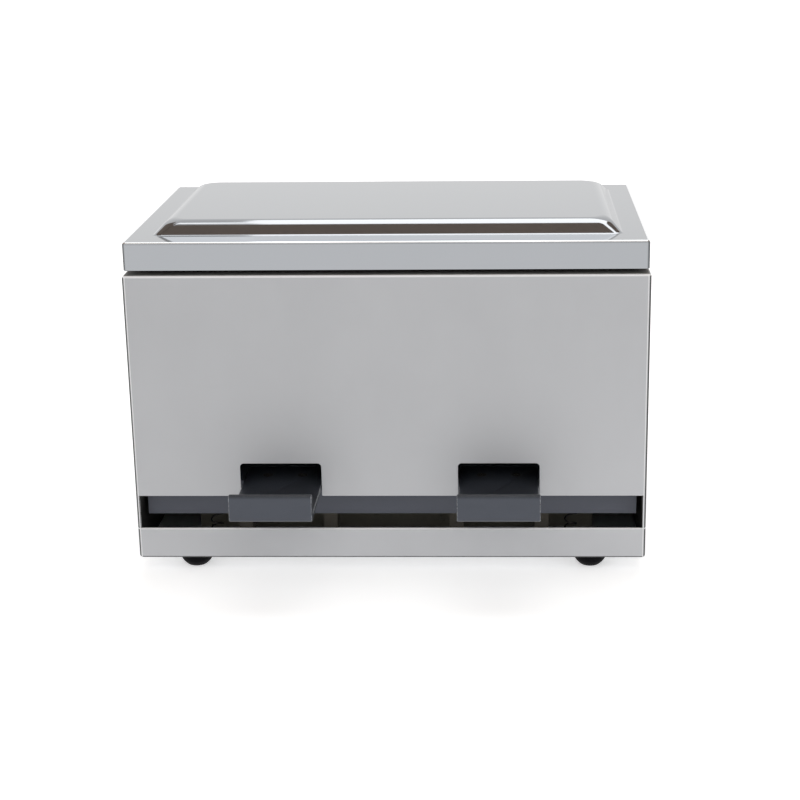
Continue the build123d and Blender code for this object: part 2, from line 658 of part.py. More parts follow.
def foot(x, y):
    """Domed rubber foot with a recess for its screw."""
    waist = (FOOT_WAIST_RADIUS, FOOT_WAIST)
    side = ThreePointArc((FOOT_RADIUS, FOOT_HEIGHT), waist, (FOOT_SOLE_RADIUS, 0))
    outline = Polyline((FOOT_SOLE_RADIUS, 0), (0, 0), (0, FOOT_HEIGHT), (FOOT_RADIUS, FOOT_HEIGHT))
    dome = revolve(Plane.XZ * make_face(side + outline), Axis.Z)
    dome -= rod_z(FOOT_RECESS_RADIUS, -OVERCUT, FOOT_RECESS, 0, 0)
    dome -= rod_z(FOOT_SCREW_RADIUS + ROD_FIT, 0, FOOT_HEIGHT + OVERCUT, 0, 0)
    return Pos(x, y, 0) * dome


def foot_screws():
    length = FOOT_HEIGHT - FOOT_RECESS + SHEET + WASHER + NUT + SCREW_TIP
    screw = pan_head_screw(FOOT_SCREW_RADIUS, length, FOOT_SCREW_HEAD_RADIUS, FOOT_SCREW_HEAD)
    return [Pos(x, y, FOOT_RECESS) * screw for x, y in foot_places()]


def foot_washers():
    top = PAN_FLOOR + WASHER
    ring = rod_z(WASHER_RADIUS, PAN_FLOOR, top, 0, 0)
    ring -= rod_z(FOOT_SCREW_RADIUS + ROD_FIT, PAN_FLOOR - OVERCUT, top + OVERCUT, 0, 0)
    return [Pos(x, y, 0) * ring for x, y in foot_places()]


def foot_nuts():
    base = PAN_FLOOR + WASHER
    nut = Pos(0, 0, base) * extrude(RegularPolygon(NUT_ACROSS / 2, 6, major_radius=False), NUT)
    nut -= rod_z(FOOT_SCREW_RADIUS + ROD_FIT, base - OVERCUT, base + NUT + OVERCUT, 0, 0)
    return [Pos(x, y, 0) * nut for x, y in foot_places()]


# ---- Lid -----------------------------------------------------------------------------------------
def plateau(base_z):
    """The lid's raised middle, standing on base_z."""
    width = 2 * (LID_HALF - PLATEAU_SIDE)
    depth = BACK - LID_FRONT - 2 * PLATEAU_FRONT
    lean = 2 * PLATEAU_RUN
    foot_outline = RectangleRounded(width, depth, PLATEAU_FOOT_CORNER)
    top_outline = RectangleRounded(width - lean, depth - lean, PLATEAU_TOP_CORNER)
    raised = loft([foot_outline, Pos(0, 0, PLATEAU_RISE) * top_outline], ruled=True)
    return Pos(0, (LID_FRONT + BACK) / 2, base_z) * raised


def lid_shell():
    """Pressed lid with a raised middle and a skirt all round."""
    outer = block(-LID_HALF, LID_HALF, LID_FRONT, BACK, SKIRT_BOTTOM, LID_TOP)
    outer = fillet(outer.edges().filter_by(Axis.Z), LID_CORNER)
    outer = fillet(outer.faces().sort_by(Axis.Z)[-1].edges(), LID_EDGE)
    raised = plateau(LID_TOP)
    raised = fillet(raised.faces().sort_by(Axis.Z)[-1].edges(), PLATEAU_TOP_EDGE)
    outer += raised
    foot_edges = [
        e for e in outer.edges() if abs(e.center().Z - LID_TOP) < 1e-3
        and abs(e.center().X) < LID_HALF - PLATEAU_SIDE / 2
        and LID_FRONT + PLATEAU_FRONT / 2 < e.center().Y < BACK - PLATEAU_FRONT / 2
    ]
    outer = fillet(foot_edges, PLATEAU_FOOT_EDGE)
    hollow = block(
        -LID_HALF + SHEET, LID_HALF - SHEET, LID_FRONT + SHEET, BACK - SHEET,
        SKIRT_BOTTOM - OVERCUT, LID_TOP - SHEET,
    )
    hollow = fillet(hollow.edges().filter_by(Axis.Z), LID_CORNER - SHEET)
    inner_raised = plateau(LID_TOP - SHEET)
    inner_raised = fillet(
        inner_raised.faces().sort_by(Axis.Z)[-1].edges(), PLATEAU_TOP_EDGE - SHEET / 2
    )
    shell = outer - (hollow + inner_raised)
    return shell - lid_rivet_holes()


def lid_rivet_holes():
    holes = [
        Pos(x, BACK - SHEET, HINGE_Z + RIVET_DROP) * Rot(-90, 0, 0)
        * Cylinder(RIVET_RADIUS + ROD_FIT, 6 * SHEET)
        for x in rivet_places()
    ]
    return Part() + holes


def lid_rim():
    """Frame inside the skirt: a leg against it and a flange over the box's top edges."""
    x = LID_HALF - SHEET
    y0 = LID_FRONT + SHEET
    y1 = BACK - SHEET
    solid = block(-x, x, y0, y1, SKIRT_BOTTOM, SKIRT_BOTTOM + RIM_LEG)
    solid = fillet(solid.edges().filter_by(Axis.Z), LID_CORNER - SHEET)
    room = block(
        -x + SHEET, x - SHEET, y0 + SHEET, y1 - SHEET,
        SKIRT_BOTTOM + SHEET, SKIRT_BOTTOM + RIM_LEG + OVERCUT,
    )
    mouth = block(
        -x + RIM_FLANGE, x - RIM_FLANGE, y0 + RIM_FLANGE, y1 - RIM_FLANGE,
        SKIRT_BOTTOM - OVERCUT, SKIRT_BOTTOM + SHEET + OVERCUT,
    )
    mouth = fillet(mouth.edges().filter_by(Axis.Z), BUMPER_RADIUS)
    return solid - room - mouth - lid_rivet_holes()


def lid_bumpers():
    """Rubber pads under the lid's frame that keep it off the box."""
    x = LID_HALF - SHEET - RIM_FLANGE / 2
    bottom = BODY_TOP + BUMPER_GAP
    return [
        rod_z(BUMPER_RADIUS, bottom, SKIRT_BOTTOM, side * x, y)
        for y in (LID_FRONT + BUMPER_BEHIND, BACK - BUMPER_BEHIND)
        for side in (-1, 1)
    ]


# ---- Hinge ---------------------------------------------------------------------------------------
def rivet_places():
    step = RIVET_SPREAD / (RIVETS_PER_LEAF - 1)
    return [-RIVET_SPREAD / 2 + step * i for i in range(RIVETS_PER_LEAF)]


def hinge_leaf(first, up):
    """One leaf with every other knuckle; up is 1 on the lid and -1 on the box."""
    pitch = HINGE_LENGTH / HINGE_KNUCKLES
    half = HINGE_LENGTH / 2
    near = HINGE_Z + up * (KNUCKLE_RADIUS + KNUCKLE_GAP)
    far = near + up * LEAF_HEIGHT
    leaf = block(-half, half, BACK, BACK + LEAF_THICKNESS, near, far)
    for i in range(first, HINGE_KNUCKLES, 2):
        x0 = -half + i * pitch + KNUCKLE_GAP / 2
        x1 = x0 + pitch - KNUCKLE_GAP
        leaf += block(x0, x1, BACK, BACK + LEAF_THICKNESS, HINGE_Z, near)
        leaf += rod_x(KNUCKLE_RADIUS, x0, x1, HINGE_Y, HINGE_Z)
        leaf -= rod_x(
            HINGE_PIN_RADIUS + HINGE_FIT, x0 - OVERCUT, x1 + OVERCUT, HINGE_Y, HINGE_Z
        )
    for x in rivet_places():
        leaf -= Pos(x, BACK, HINGE_Z + up * RIVET_DROP) * Rot(-90, 0, 0) * Cylinder(
            RIVET_RADIUS + ROD_FIT, 4 * LEAF_THICKNESS
        )
    return leaf


def hinge_leaf_lid():
    """The lid's leaf, with a curled stop tab beyond each end of the knuckles."""
    leaf = hinge_leaf(1, 1)
    stop_at = degrees(acos(-(KNUCKLE_RADIUS - STOP_CLEARANCE) / STOP_OUTER))
    start = degrees(acos(-KNUCKLE_RADIUS / STOP_OUTER))
    end = LID_OPEN_ANGLE - stop_at
    x0 = HINGE_LENGTH / 2 + PIN_HEAD + 2 * KNUCKLE_GAP
    for side in (-1, 1):
        inner, outer = side * x0, side * (x0 + STOP_WIDTH)
        ring = rod_x(STOP_OUTER, inner, outer, HINGE_Y, HINGE_Z)
        ring -= rod_x(STOP_INNER, inner, outer, HINGE_Y, HINGE_Z)
        leaf += ring & stop_sector(min(inner, outer), max(inner, outer), start, end)
        leaf += block(
            side * HINGE_LENGTH / 2, outer, BACK, BACK + LEAF_THICKNESS,
            HINGE_Z + STOP_INNER, HINGE_Z + KNUCKLE_RADIUS + KNUCKLE_GAP + LEAF_HEIGHT,
        )
    return leaf


def stop_sector(x0, x1, start, end):
    """Wedge about the hinge's axis from start degrees down to end degrees over the rear."""
    reach = 2 * STOP_OUTER
    steps = 8
    angles = [radians(start + (end - start) * i / steps) for i in range(steps + 1)]
    rim = [(HINGE_Y + reach * cos(a), HINGE_Z + reach * sin(a)) for a in angles]
    return across([(HINGE_Y, HINGE_Z)] + rim, x0, x1)


def hinge_pin():
    half = HINGE_LENGTH / 2
    pin = rod_x(HINGE_PIN_RADIUS, -half, half, HINGE_Y, HINGE_Z)
    for side in (-1, 1):
        pin += rod_x(PIN_HEAD_RADIUS, side * half, side * (half + PIN_HEAD), HINGE_Y, HINGE_Z)
    return pin


def rivets(z, grip):
    """Domed rivets through the leaf and grip millimetres of metal."""
    head = rod_z(RIVET_HEAD_RADIUS, 0, RIVET_HEAD, 0, 0)
    head = fillet(head.edges().group_by(Axis.Z)[-1], RIVET_HEAD * 0.8)
    rivet = head + rod_z(RIVET_RADIUS, -grip, 0, 0, 0)
    rivet += rod_z(RIVET_TAIL_RADIUS, -grip - RIVET_TAIL, -grip, 0, 0)
    return [Pos(x, BACK + LEAF_THICKNESS, z) * Rot(-90, 0, 0) * rivet for x in rivet_places()]


# ---- Every node ----------------------------------------------------------------------------------
def nodes():
    parts = {
        "base_pan": base_pan(),
        "front_panel": front_panel(),
        "back_panel": back_panel(),
        "side_panel_left": side_panel(-1),
        "side_panel_right": side_panel(1),
        "hopper_floor": hopper_floor(),
        "metering_baffle": metering_baffle(),
        "rest_rail": rest_rail(),
        "rail_cushion": rail_cushion(),
        "pivot_rod": pivot_rod(),
        "rod_clips": rod_clips(),
        "post_screws": post_screws(),
        "spring_seats": spring_seats(),
        "return_spring_left": return_spring(spring_places()[0]),
        "return_spring_right": return_spring(spring_places()[1]),
        "dispensing_shelf": dispensing_shelf(),
        "pivot_bushes": pivot_bushes(),
        "press_lever_left": press_lever(lever_places()[0]),
        "press_lever_right": press_lever(lever_places()[1]),
        "lever_screws": lever_screws(),
        "foot_screws": foot_screws(),
        "foot_washers": foot_washers(),
        "foot_nuts": foot_nuts(),
        "lid_shell": lid_shell(),
        "lid_rim": lid_rim(),
        "lid_bumpers": lid_bumpers(),
        "hinge_leaf_body": hinge_leaf(0, -1),
        "hinge_leaf_lid": hinge_leaf_lid(),
        "hinge_pin": hinge_pin(),
        "hinge_rivets_body": rivets(HINGE_Z - RIVET_DROP, LEAF_THICKNESS + SHEET),
        "hinge_rivets_lid": rivets(HINGE_Z + RIVET_DROP, LEAF_THICKNESS + 2 * SHEET),
    }
    for number, x in enumerate(post_places(), 1):
        parts[f"pivot_post_{number}"] = pivot_post(x)
    for place, (x, y) in zip(("front_left", "front_right", "rear_left", "rear_right"), foot_places()):
        parts[f"foot_{place}"] = foot(x, y)
    return parts


def main():
    os.makedirs("parts", exist_ok=True)
    for name, shape in nodes().items():
        solids = shape if isinstance(shape, list) else shape.solids()
        export_step(Compound(children=list(solids), label=name), f"parts/{name}.step")


main()
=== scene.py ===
"""Finishes, fasteners, springs, feet, levers and studio of a sheet-steel chopstick dispenser.

Everything is in metres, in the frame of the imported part: +X to the right seen from the front,
+Y from the front to the back, +Z up, with the table at zero.
"""

import math

import bmesh
import bpy
from bpy.props import FloatProperty, FloatVectorProperty, IntProperty, PointerProperty
from bpy.types import Operator, Panel, PropertyGroup
from mathutils import Euler, Matrix, Vector


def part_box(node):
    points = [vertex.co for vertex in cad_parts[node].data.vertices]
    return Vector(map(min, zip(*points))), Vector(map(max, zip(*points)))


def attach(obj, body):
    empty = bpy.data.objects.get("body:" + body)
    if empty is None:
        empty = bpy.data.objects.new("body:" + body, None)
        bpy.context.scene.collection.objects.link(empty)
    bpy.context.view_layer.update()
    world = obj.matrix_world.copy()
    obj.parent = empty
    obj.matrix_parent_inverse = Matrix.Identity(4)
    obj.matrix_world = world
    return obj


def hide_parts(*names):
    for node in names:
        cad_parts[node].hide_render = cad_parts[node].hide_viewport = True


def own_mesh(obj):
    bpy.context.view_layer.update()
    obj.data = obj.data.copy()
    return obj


bl_info = {
    "name": "Chopstick Dispenser",
    "version": (1, 0, 0),
    "blender": (4, 5, 0),
    "location": "3D View > Sidebar > Dispenser",
    "description": "Dresses the chopstick dispenser: steel, mouldings, springs, fasteners and studio",
    "category": "Object",
}

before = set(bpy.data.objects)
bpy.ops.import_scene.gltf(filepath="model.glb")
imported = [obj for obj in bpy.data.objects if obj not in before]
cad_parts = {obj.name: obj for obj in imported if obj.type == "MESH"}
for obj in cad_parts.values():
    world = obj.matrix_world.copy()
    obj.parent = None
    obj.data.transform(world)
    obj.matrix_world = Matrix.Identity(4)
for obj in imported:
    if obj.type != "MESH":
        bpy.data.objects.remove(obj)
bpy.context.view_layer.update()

MM = 0.001
SAME_PLACE = 0.0001 * MM
BOX_BODY = "box"
SHELF_BODY = "shelf"
LID_BODY = "lid"
LEVER_NODES = ("press_lever_left", "press_lever_right")
SPRING_NODES = ("return_spring_left", "return_spring_right")
FOOT_NODES = ("foot_front_left", "foot_front_right", "foot_rear_left", "foot_rear_right")
POST_NODES = ("pivot_post_1", "pivot_post_2", "pivot_post_3", "pivot_post_4")
PANEL_NODES = ("base_pan", "front_panel", "back_panel", "side_panel_left", "side_panel_right")
HOPPER_NODES = ("hopper_floor", "metering_baffle")
PLATED_NODES = (
    "rod_clips", "post_screws", "foot_screws", "foot_washers", "foot_nuts",
    "hinge_leaf_body", "hinge_leaf_lid",
)


# ---- Sizes and colours that a user would change ----
def colour(label, words, default):
    return FloatVectorProperty(
        name=label, description=words, default=default, min=0.0, max=1.0, size=3, subtype="COLOR"
    )


def length(label, words, millimetres):
    return FloatProperty(
        name=label, description=words, default=millimetres * MM, min=0.0, unit="LENGTH", precision=5
    )


def share(label, words, default):
    return FloatProperty(
        name=label, description=words, default=default, min=0.0, max=1.0, subtype="FACTOR"
    )


def amount(label, words, default):
    return FloatProperty(name=label, description=words, default=default, min=0.0)


class DispenserSteel(PropertyGroup):
    sheet_colour: colour("Sheet", "Colour of the satin body sheet", (0.555, 0.562, 0.578))
    lid_colour: colour("Lid", "Reflected colour of the polished lid", (0.337, 0.348, 0.364))
    hopper_colour: colour("Hopper", "Unpolished sheet of the hopper", (0.24, 0.235, 0.22))
    rail_colour: colour("Rail", "Dark coating of the rest rail", (0.20, 0.186, 0.15))
    black_colour: colour("Black", "Black coating of the lever screws", (0.035, 0.032, 0.026))
    zinc_colour: colour("Zinc", "Colour of plated fasteners and the hinge", (0.55, 0.56, 0.57))
    wire_colour: colour("Wire", "Bare steel of the rod and the hinge pin", (0.50, 0.50, 0.51))
    spring_colour: colour("Springs", "Dark oiled wire of the springs", (0.10, 0.095, 0.09))
    sheet_metal: share("Sheet shine", "Share of the satin sheet that mirrors; the rest scatters", 0.35)
    sheet_roughness: share("Sheet roughness", "How much the body sheet blurs what it mirrors", 0.65)
    # Partly the duller inner sheet, partly painted shade.
    inside_colour: colour("Inside", "Inner faces of the panels: duller sheet, with painted shade over it", (0.26, 0.257, 0.247))
    # A near-white colour, painted on the lid's top edge as a highlight.
    edge_highlight_colour: colour("Lid edge", "Painted highlight along the lid's top edge", (0.93, 0.94, 0.95))
    lid_roughness: share("Lid roughness", "How much the lid blurs what it mirrors", 0.07)
    mottle: share("Mottle", "Strength of the faint cloudiness of rolled sheet", 0.03)


class DispenserLid(PropertyGroup):
    sheet: length("Sheet", "Thickness of the lid's sheet", 1.0)
    corner: length("Skirt corner", "Radius of the skirt's upright corners", 2.2)
    edge: length("Top edge", "Rounding between the skirt and the top", 1.4)
    hem: length("Hem", "Rounding of the skirt's bottom edge", 0.25)
    side_border: length("Side border", "Flat border beside the raised middle", 14.0)
    front_border: length("Front border", "Flat border before and behind the raised middle", 18.5)
    rise: length("Rise", "Height of the raised middle", 7.5)
    run: length("Run", "How far the sloping sides lean in", 7.0)
    foot_corner: length("Foot corner", "Corner radius at the foot of the slope", 4.5)
    top_corner: length("Top corner", "Corner radius at the top of the slope", 9.0)
    foot_edge: length("Foot rounding", "Rounding where the slope meets the border", 2.0)
    top_edge: length("Top rounding", "Rounding where the slope meets the top", 9.0)


class DispenserPlastic(PropertyGroup):
    lever_colour: colour("Levers", "Blue-grey moulded levers", (0.059, 0.067, 0.087))
    shelf_colour: colour("Shelf", "Blue-grey moulded shelf", (0.088, 0.096, 0.122))
    post_colour: colour("Posts", "Brownish grey moulded posts", (0.20, 0.18, 0.15))
    bush_colour: colour("Bushes", "Natural nylon bushes", (0.72, 0.70, 0.64))
    rubber_colour: colour("Rubber", "Black rubber of the feet and pads", (0.006, 0.006, 0.007))
    grain: length("Grain", "Size of the spark-eroded grain of the mouldings", 0.35)
    # Pale for rubbing and as a painted highlight on the levers' edges.
    lever_worn: colour("Lever edges", "Rubbed edges of the levers, pale as a painted highlight", (0.42, 0.44, 0.47))
    shelf_worn: colour("Shelf edges", "Rubbed edges of the shelf", (0.12, 0.125, 0.14))
    post_worn: colour("Post edges", "Rubbed edges of the posts", (0.16, 0.15, 0.13))
    bush_worn: colour("Bush edges", "Rubbed edges of the bushes", (0.80, 0.79, 0.75))
    # Painted shade on the levers' tops and sides at the front.
    arm_shade: share("Arm Shade", "How much painted shade darkens the levers' tops and sides at the front", 0.62)


class DispenserLevers(PropertyGroup):
    thickness: length("Arm thickness", "Thickness of the lever's arm", 2.8)
    lip_wall: length("Lip thickness", "Thickness of the upturned lip", 5.0)
    cradle_radius: length("Cradle radius", "Inside radius between arm and lip", 3.0)
    edge_radius: length("Edge radius", "Rounding of every outer edge", 0.6)
    heel_radius: length("Heel radius", "Rounding under the lip", 1.5)
    brow: share("Brow", "Rounding of the lip's top, as a share of the lip's thickness", 0.45)
    rib_width: length("Rib width", "Width of the two ribs under an arm", 2.0)
    rib_depth: length("Rib depth", "Depth of the two ribs under an arm", 4.0)
    rib_gap: length("Rib gap", "From the ribs to the front panel at rest", 2.0)
    screw_spread: length("Screw spread", "Between the two screws of a lever", 20.0)
    screw_radius: length("Screw radius", "Radius of a screw's shank", 1.5)
    screw_cone: length("Screw cone", "Depth of a screw's countersunk head", 1.6)
    screw_play: length("Screw play", "Gap round a countersunk screw", 0.05)


class DispenserSprings(PropertyGroup):
    wire: length("Wire", "Diameter of the spring wire", 1.0)
    turns: IntProperty(name="Turns", description="Turns of each coil", default=9, min=3)
    keep: share("Height kept", "Share of its height that a spring keeps at full press", 0.88)


class DispenserFasteners(PropertyGroup):
    rivets: IntProperty(name="Rivets", description="Rivets in each hinge leaf", default=5, min=2)
    rivet_head: length("Rivet head", "Height of a rivet's domed head", 1.4)
    rivet_shank: length("Rivet shank", "Radius of a rivet's shank", 1.5)
    rivet_tail: length("Rivet tail", "Radius of a rivet's upset tail", 2.3)
    tail_height: length("Tail height", "Height of a rivet's upset tail", 1.0)


class DispenserFeet(PropertyGroup):
    waist_radius: length("Waist radius", "Radius of the dome at the waist", 8.8)
    waist_height: length("Waist height", "Height of the waist over the table", 3.5)
    sole_radius: length("Sole radius", "Radius of the flat that stands on the table", 5.6)
    recess_radius: length("Recess radius", "Radius of the recess for the screw", 3.2)
    recess_depth: length("Recess depth", "Depth of the recess for the screw", 3.4)
    bore_radius: length("Bore radius", "Radius of the screw's hole", 1.53)
    edge: length("Edge", "Chamfer of the foot's rims", 0.3)


class DispenserStudio(PropertyGroup):
    focal_length: FloatProperty(
        name="Focal length", description="Lens of the camera", default=79.70, unit="CAMERA"
    )
    sky: share("Sky", "Strength of the even white surround", 1.0)
    floor_colour: colour("Floor", "Colour of the floor", (0.86, 0.86, 0.86))
    floor_glow: share("Floor glow", "What the floor adds where the camera sees it", 0.50)
    floor_mirrored: amount("Floor before", "Its brightness in mirrors, before the box", 1.34)
    floor_behind: amount("Floor behind", "Its brightness in mirrors, behind the box", 0.85)
    flag_colour: colour("Flags", "Brown cards round the box", (0.33, 0.27, 0.23))
    lamp_power: amount("Soft lamp", "Power of the wide lamp over the lid", 5.0)
    strip_power: amount("Strip lamp", "Power of the narrow lamp to its left", 0.22)


# ---- Small helpers ----
def link_object(name, data):
    """A new object of a mesh, lamp or camera, in the scene."""
    piece = bpy.data.objects.new(name, data)
    bpy.context.scene.collection.objects.link(piece)
    return piece


def add_node(tree, kind, inputs=None, **settings):
    """A new node; each input is a socket to link from, or a plain value to set."""
    node = tree.nodes.new(kind)
    for key, value in settings.items():
        setattr(node, key, value)
    for key, value in (inputs or {}).items():
        if isinstance(value, bpy.types.NodeSocket):
            tree.links.new(value, node.inputs[key])
        else:
            node.inputs[key].default_value = value
    return node


def made(tree, kind, inputs=None, **settings):
    """The first output of a new node."""
    return add_node(tree, kind, inputs, **settings).outputs[0]


def maths(tree, operation, *values):
    return made(tree, "ShaderNodeMath", dict(enumerate(values)), operation=operation)


def times(tree, first, *others):
    """The product of the values."""
    for other in others:
        first = maths(tree, "MULTIPLY", first, other)
    return first


def node_box(name):
    """The lowest and the highest corner of a CAD node at rest."""
    return [Vector(corner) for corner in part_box(name)]


def arc(radius, start, end, steps):
    """Points of an arc about zero, both ends included, between two angles in degrees."""
    angles = (math.radians(start + (end - start) * step / steps) for step in range(steps + 1))
    return [(radius * math.cos(angle), radius * math.sin(angle)) for angle in angles]


def rounded(corners, steps=5):
    """A closed outline with round corners, from (across, up, radius) corners."""
    points = []
    count = len(corners)
    for i, (x, z, radius) in enumerate(corners):
        here = Vector((x, z))
        if radius <= 0:
            points.append(here)
            continue
        before = (Vector(corners[i - 1][:2]) - here).normalized()
        after = (Vector(corners[(i + 1) % count][:2]) - here).normalized()
        half = before.angle(after) / 2
        reach = radius / math.tan(half)
        centre = here + (before + after).normalized() * radius / math.sin(half)
        start = here + before * reach - centre
        turn = start.angle_signed(here + after * reach - centre)
        for step in range(steps + 1):
            points.append(centre + Matrix.Rotation(-turn * step / steps, 2) @ start)
    return points


def skinned(name, loops, gap=None, banded=range(0)):
    """A closed mesh over loops of points, the last joined to the first.

    A loop of one point is a tip. No side leaves the loop at the gap: it and the next one are closed
    by a face each. Sides that start at a banded loop take the second material.
    """
    bm = bmesh.new()
    rings = [[bm.verts.new(point) for point in loop] for loop in loops]
    count = max(len(ring) for ring in rings)
    for i, low in enumerate(rings):
        high = rings[(i + 1) % len(rings)]
        if i == gap:
            bm.faces.new(high)
            bm.faces.new(low)
            continue
        if len(low) == len(high) == 1:
            continue
        for j in range(count):
            k = (j + 1) % count
            corners = [low[j % len(low)], low[k % len(low)], high[k % len(high)], high[j % len(high)]]
            face = bm.faces.new(list(dict.fromkeys(corners)))
            face.material_index = int(i in banded)
    bmesh.ops.remove_doubles(bm, verts=bm.verts, dist=SAME_PLACE)
    bmesh.ops.recalc_face_normals(bm, faces=bm.faces)
    mesh = bpy.data.meshes.new(name)
    bm.to_mesh(mesh)
    bm.free()
    return mesh


def prism(outline, x0, x1):
    """A mesh of a (y, z) outline carried across from x0 to x1."""
    return skinned("prism", [[(x, *point) for point in outline] for x in (x0, x1)], gap=1)


def turned(profile, segments=48):
    """A closed mesh turned about the Z axis from (radius, height) points."""
    loops = []
    for radius, height in profile:
        ring = arc(radius, 0, 360, segments)[:-1] if radius > SAME_PLACE else [(0.0, 0.0)]
        loops.append([(x, y, height) for x, y in ring])
    return skinned("turned", loops)


def smooth(mesh, degrees=32.0):
    """Smooth shading that keeps edges sharper than the angle."""
    mesh.shade_smooth()
    mesh.set_sharp_from_angle(angle=math.radians(degrees))
    return mesh


def plain_mesh(piece):
    """The piece's shape with its modifiers applied, which are then removed."""
    depsgraph = bpy.context.evaluated_depsgraph_get()
    mesh = bpy.data.meshes.new_from_object(piece.evaluated_get(depsgraph), depsgraph=depsgraph)
    piece.modifiers.clear()
    piece.data = mesh
    return mesh


def modified(mesh, kind, steps):
    """The mesh after modifiers of one kind, one for each step's settings."""
    piece = link_object("blank", mesh)
    for settings in steps:
        modifier = piece.modifiers.new(kind, kind)
        for key, value in settings.items():
            setattr(modifier, key, value)
    result = plain_mesh(piece)
    bpy.data.objects.remove(piece)
    return result


def bevelled(mesh, width, segments=3, degrees=40.0):
    """The mesh with every edge sharper than the angle rounded."""
    limit = math.radians(degrees)
    settings = {"width": width, "segments": segments, "limit_method": "ANGLE", "angle_limit": limit}
    return modified(mesh, "BEVEL", [settings])


def combined(mesh, others, operation):
    """The mesh united with, or cut by, the others."""
    tools = [link_object("tool", other) for other in others]
    steps = [{"operation": operation, "solver": "EXACT", "object": tool} for tool in tools]
    result = modified(mesh, "BOOLEAN", steps)
    for tool in tools:
        bpy.data.objects.remove(tool)
    return result


def placed(mesh, place):
    mesh.transform(place)
    return mesh


def finish_node(name, material):
    """Gives a carried-over CAD node its finish."""
    for material_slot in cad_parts[name].material_slots:
        material_slot.material = material


def dressed(piece, body, slot, *nodes):
    """The piece rides on a body and stands for CAD nodes, which it hides; the slot is not used."""
    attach(piece, body)
    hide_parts(*nodes)


# ---- Geometry trees ----
def geometry_tree(name, sockets):
    """A modifier tree with a geometry input, the named inputs and a material input."""
    tree = bpy.data.node_groups.new(name, "GeometryNodeTree")
    tree.is_modifier = True
    tree.interface.new_socket("Geometry", in_out="INPUT", socket_type="NodeSocketGeometry")
    for label, kind in sockets:
        tree.interface.new_socket(label, in_out="INPUT", socket_type=f"NodeSocket{kind}")
    tree.interface.new_socket("Finish", in_out="INPUT", socket_type="NodeSocketMaterial")
    tree.interface.new_socket("Geometry", in_out="OUTPUT", socket_type="NodeSocketGeometry")
    return tree, add_node(tree, "NodeGroupInput").outputs


def close_tree(tree, geometry, finish):
    """Ends a tree: real geometry, smooth where it was smooth, with its material."""
    real = made(tree, "GeometryNodeRealizeInstances", {"Geometry": geometry})
    painted = made(tree, "GeometryNodeSetMaterial", {"Geometry": real, "Material": finish})
    add_node(tree, "NodeGroupOutput", {"Geometry": painted})


def rows_tree(name):
    """Repeats the modified mesh in rows: a short step inside a group, a long one between groups."""
    tree, given = geometry_tree(name, (
        ("Start", "Vector"), ("Count", "Int"), ("Step", "Vector"),
        ("Groups", "Int"), ("Group Step", "Vector"),
    ))
    copies = given["Geometry"]
    for count, first, step in (
        ("Count", given["Start"], "Step"), ("Groups", (0.0, 0.0, 0.0), "Group Step"),
    ):
        line = made(tree, "GeometryNodeMeshLine", {
            "Count": given[count], "Start Location": first, "Offset": given[step],
        })
        copies = made(tree, "GeometryNodeInstanceOnPoints", {"Points": line, "Instance": copies})
    close_tree(tree, copies, given["Finish"])
    return tree


END_TURNS = ((0.13, 0.05), (0.87, 0.95))


def coil_tree():
    """A compression spring: a round wire on a helix whose end turns lie close.

    END_TURNS gives, along the wire, the share of the height reached after the first turns and
    before the last ones.
    """
    tree, given = geometry_tree("ground_coil", (
        ("Centre", "Vector"), ("Radius", "Float"), ("Wire Radius", "Float"),
        ("Height", "Float"), ("Turns", "Float"),
    ))
    helix = made(tree, "GeometryNodeCurveSpiral", {
        "Resolution": 40, "Rotations": given["Turns"], "Start Radius": given["Radius"],
        "End Radius": given["Radius"], "Height": 0.0,
    })
    along = add_node(tree, "GeometryNodeSplineParameter").outputs["Factor"]
    rise = add_node(tree, "ShaderNodeFloatCurve", {"Value": along})
    curve = rise.mapping.curves[0]
    for place in END_TURNS:
        curve.points.new(*place)
    rise.mapping.update()
    clear = maths(tree, "SUBTRACT", given["Height"], times(tree, given["Wire Radius"], 2.0))
    lift = maths(tree, "ADD", times(tree, rise.outputs[0], clear), given["Wire Radius"])
    offset = made(tree, "ShaderNodeCombineXYZ", {"Z": lift})
    place = made(tree, "ShaderNodeVectorMath", {0: offset, 1: given["Centre"]}, operation="ADD")
    raised = made(tree, "GeometryNodeSetPosition", {"Geometry": helix, "Offset": place})
    section = made(tree, "GeometryNodeCurvePrimitiveCircle", {
        "Resolution": 14, "Radius": given["Wire Radius"],
    })
    wire = made(tree, "GeometryNodeCurveToMesh", {
        "Curve": raised, "Profile Curve": section, "Fill Caps": True,
    })
    soft = made(tree, "GeometryNodeSetShadeSmooth", {"Geometry": wire})
    close_tree(tree, soft, given["Finish"])
    return tree


def grown(name, tree, values, mesh=None):
    """Runs a geometry tree and returns its result as a plain mesh object."""
    piece = link_object(name, mesh or bpy.data.meshes.new(name))
    modifier = piece.modifiers.new("shape", "NODES")
    modifier.node_group = tree
    for item in tree.interface.items_tree:
        if item.in_out == "INPUT" and item.name in values:
            modifier[item.identifier] = values[item.name]
    plain_mesh(piece)
    return piece


# ---- Shader node groups ----
def object_place(tree, stretch=(1.0, 1.0, 1.0)):
    """Object coordinates, squeezed by a factor on each axis."""
    place = add_node(tree, "ShaderNodeTexCoord").outputs["Object"]
    return made(tree, "ShaderNodeMapping", {"Vector": place, "Scale": stretch})


def axes(tree, vector):
    """The X, Y and Z of a vector."""
    return add_node(tree, "ShaderNodeSeparateXYZ", {0: vector}).outputs


def noise(tree, place, scale, detail=3.0, roughness=0.5):
    node = add_node(tree, "ShaderNodeTexNoise", {
        "Vector": place, "Scale": scale, "Detail": detail, "Roughness": roughness,
    })
    return node.outputs["Fac"]


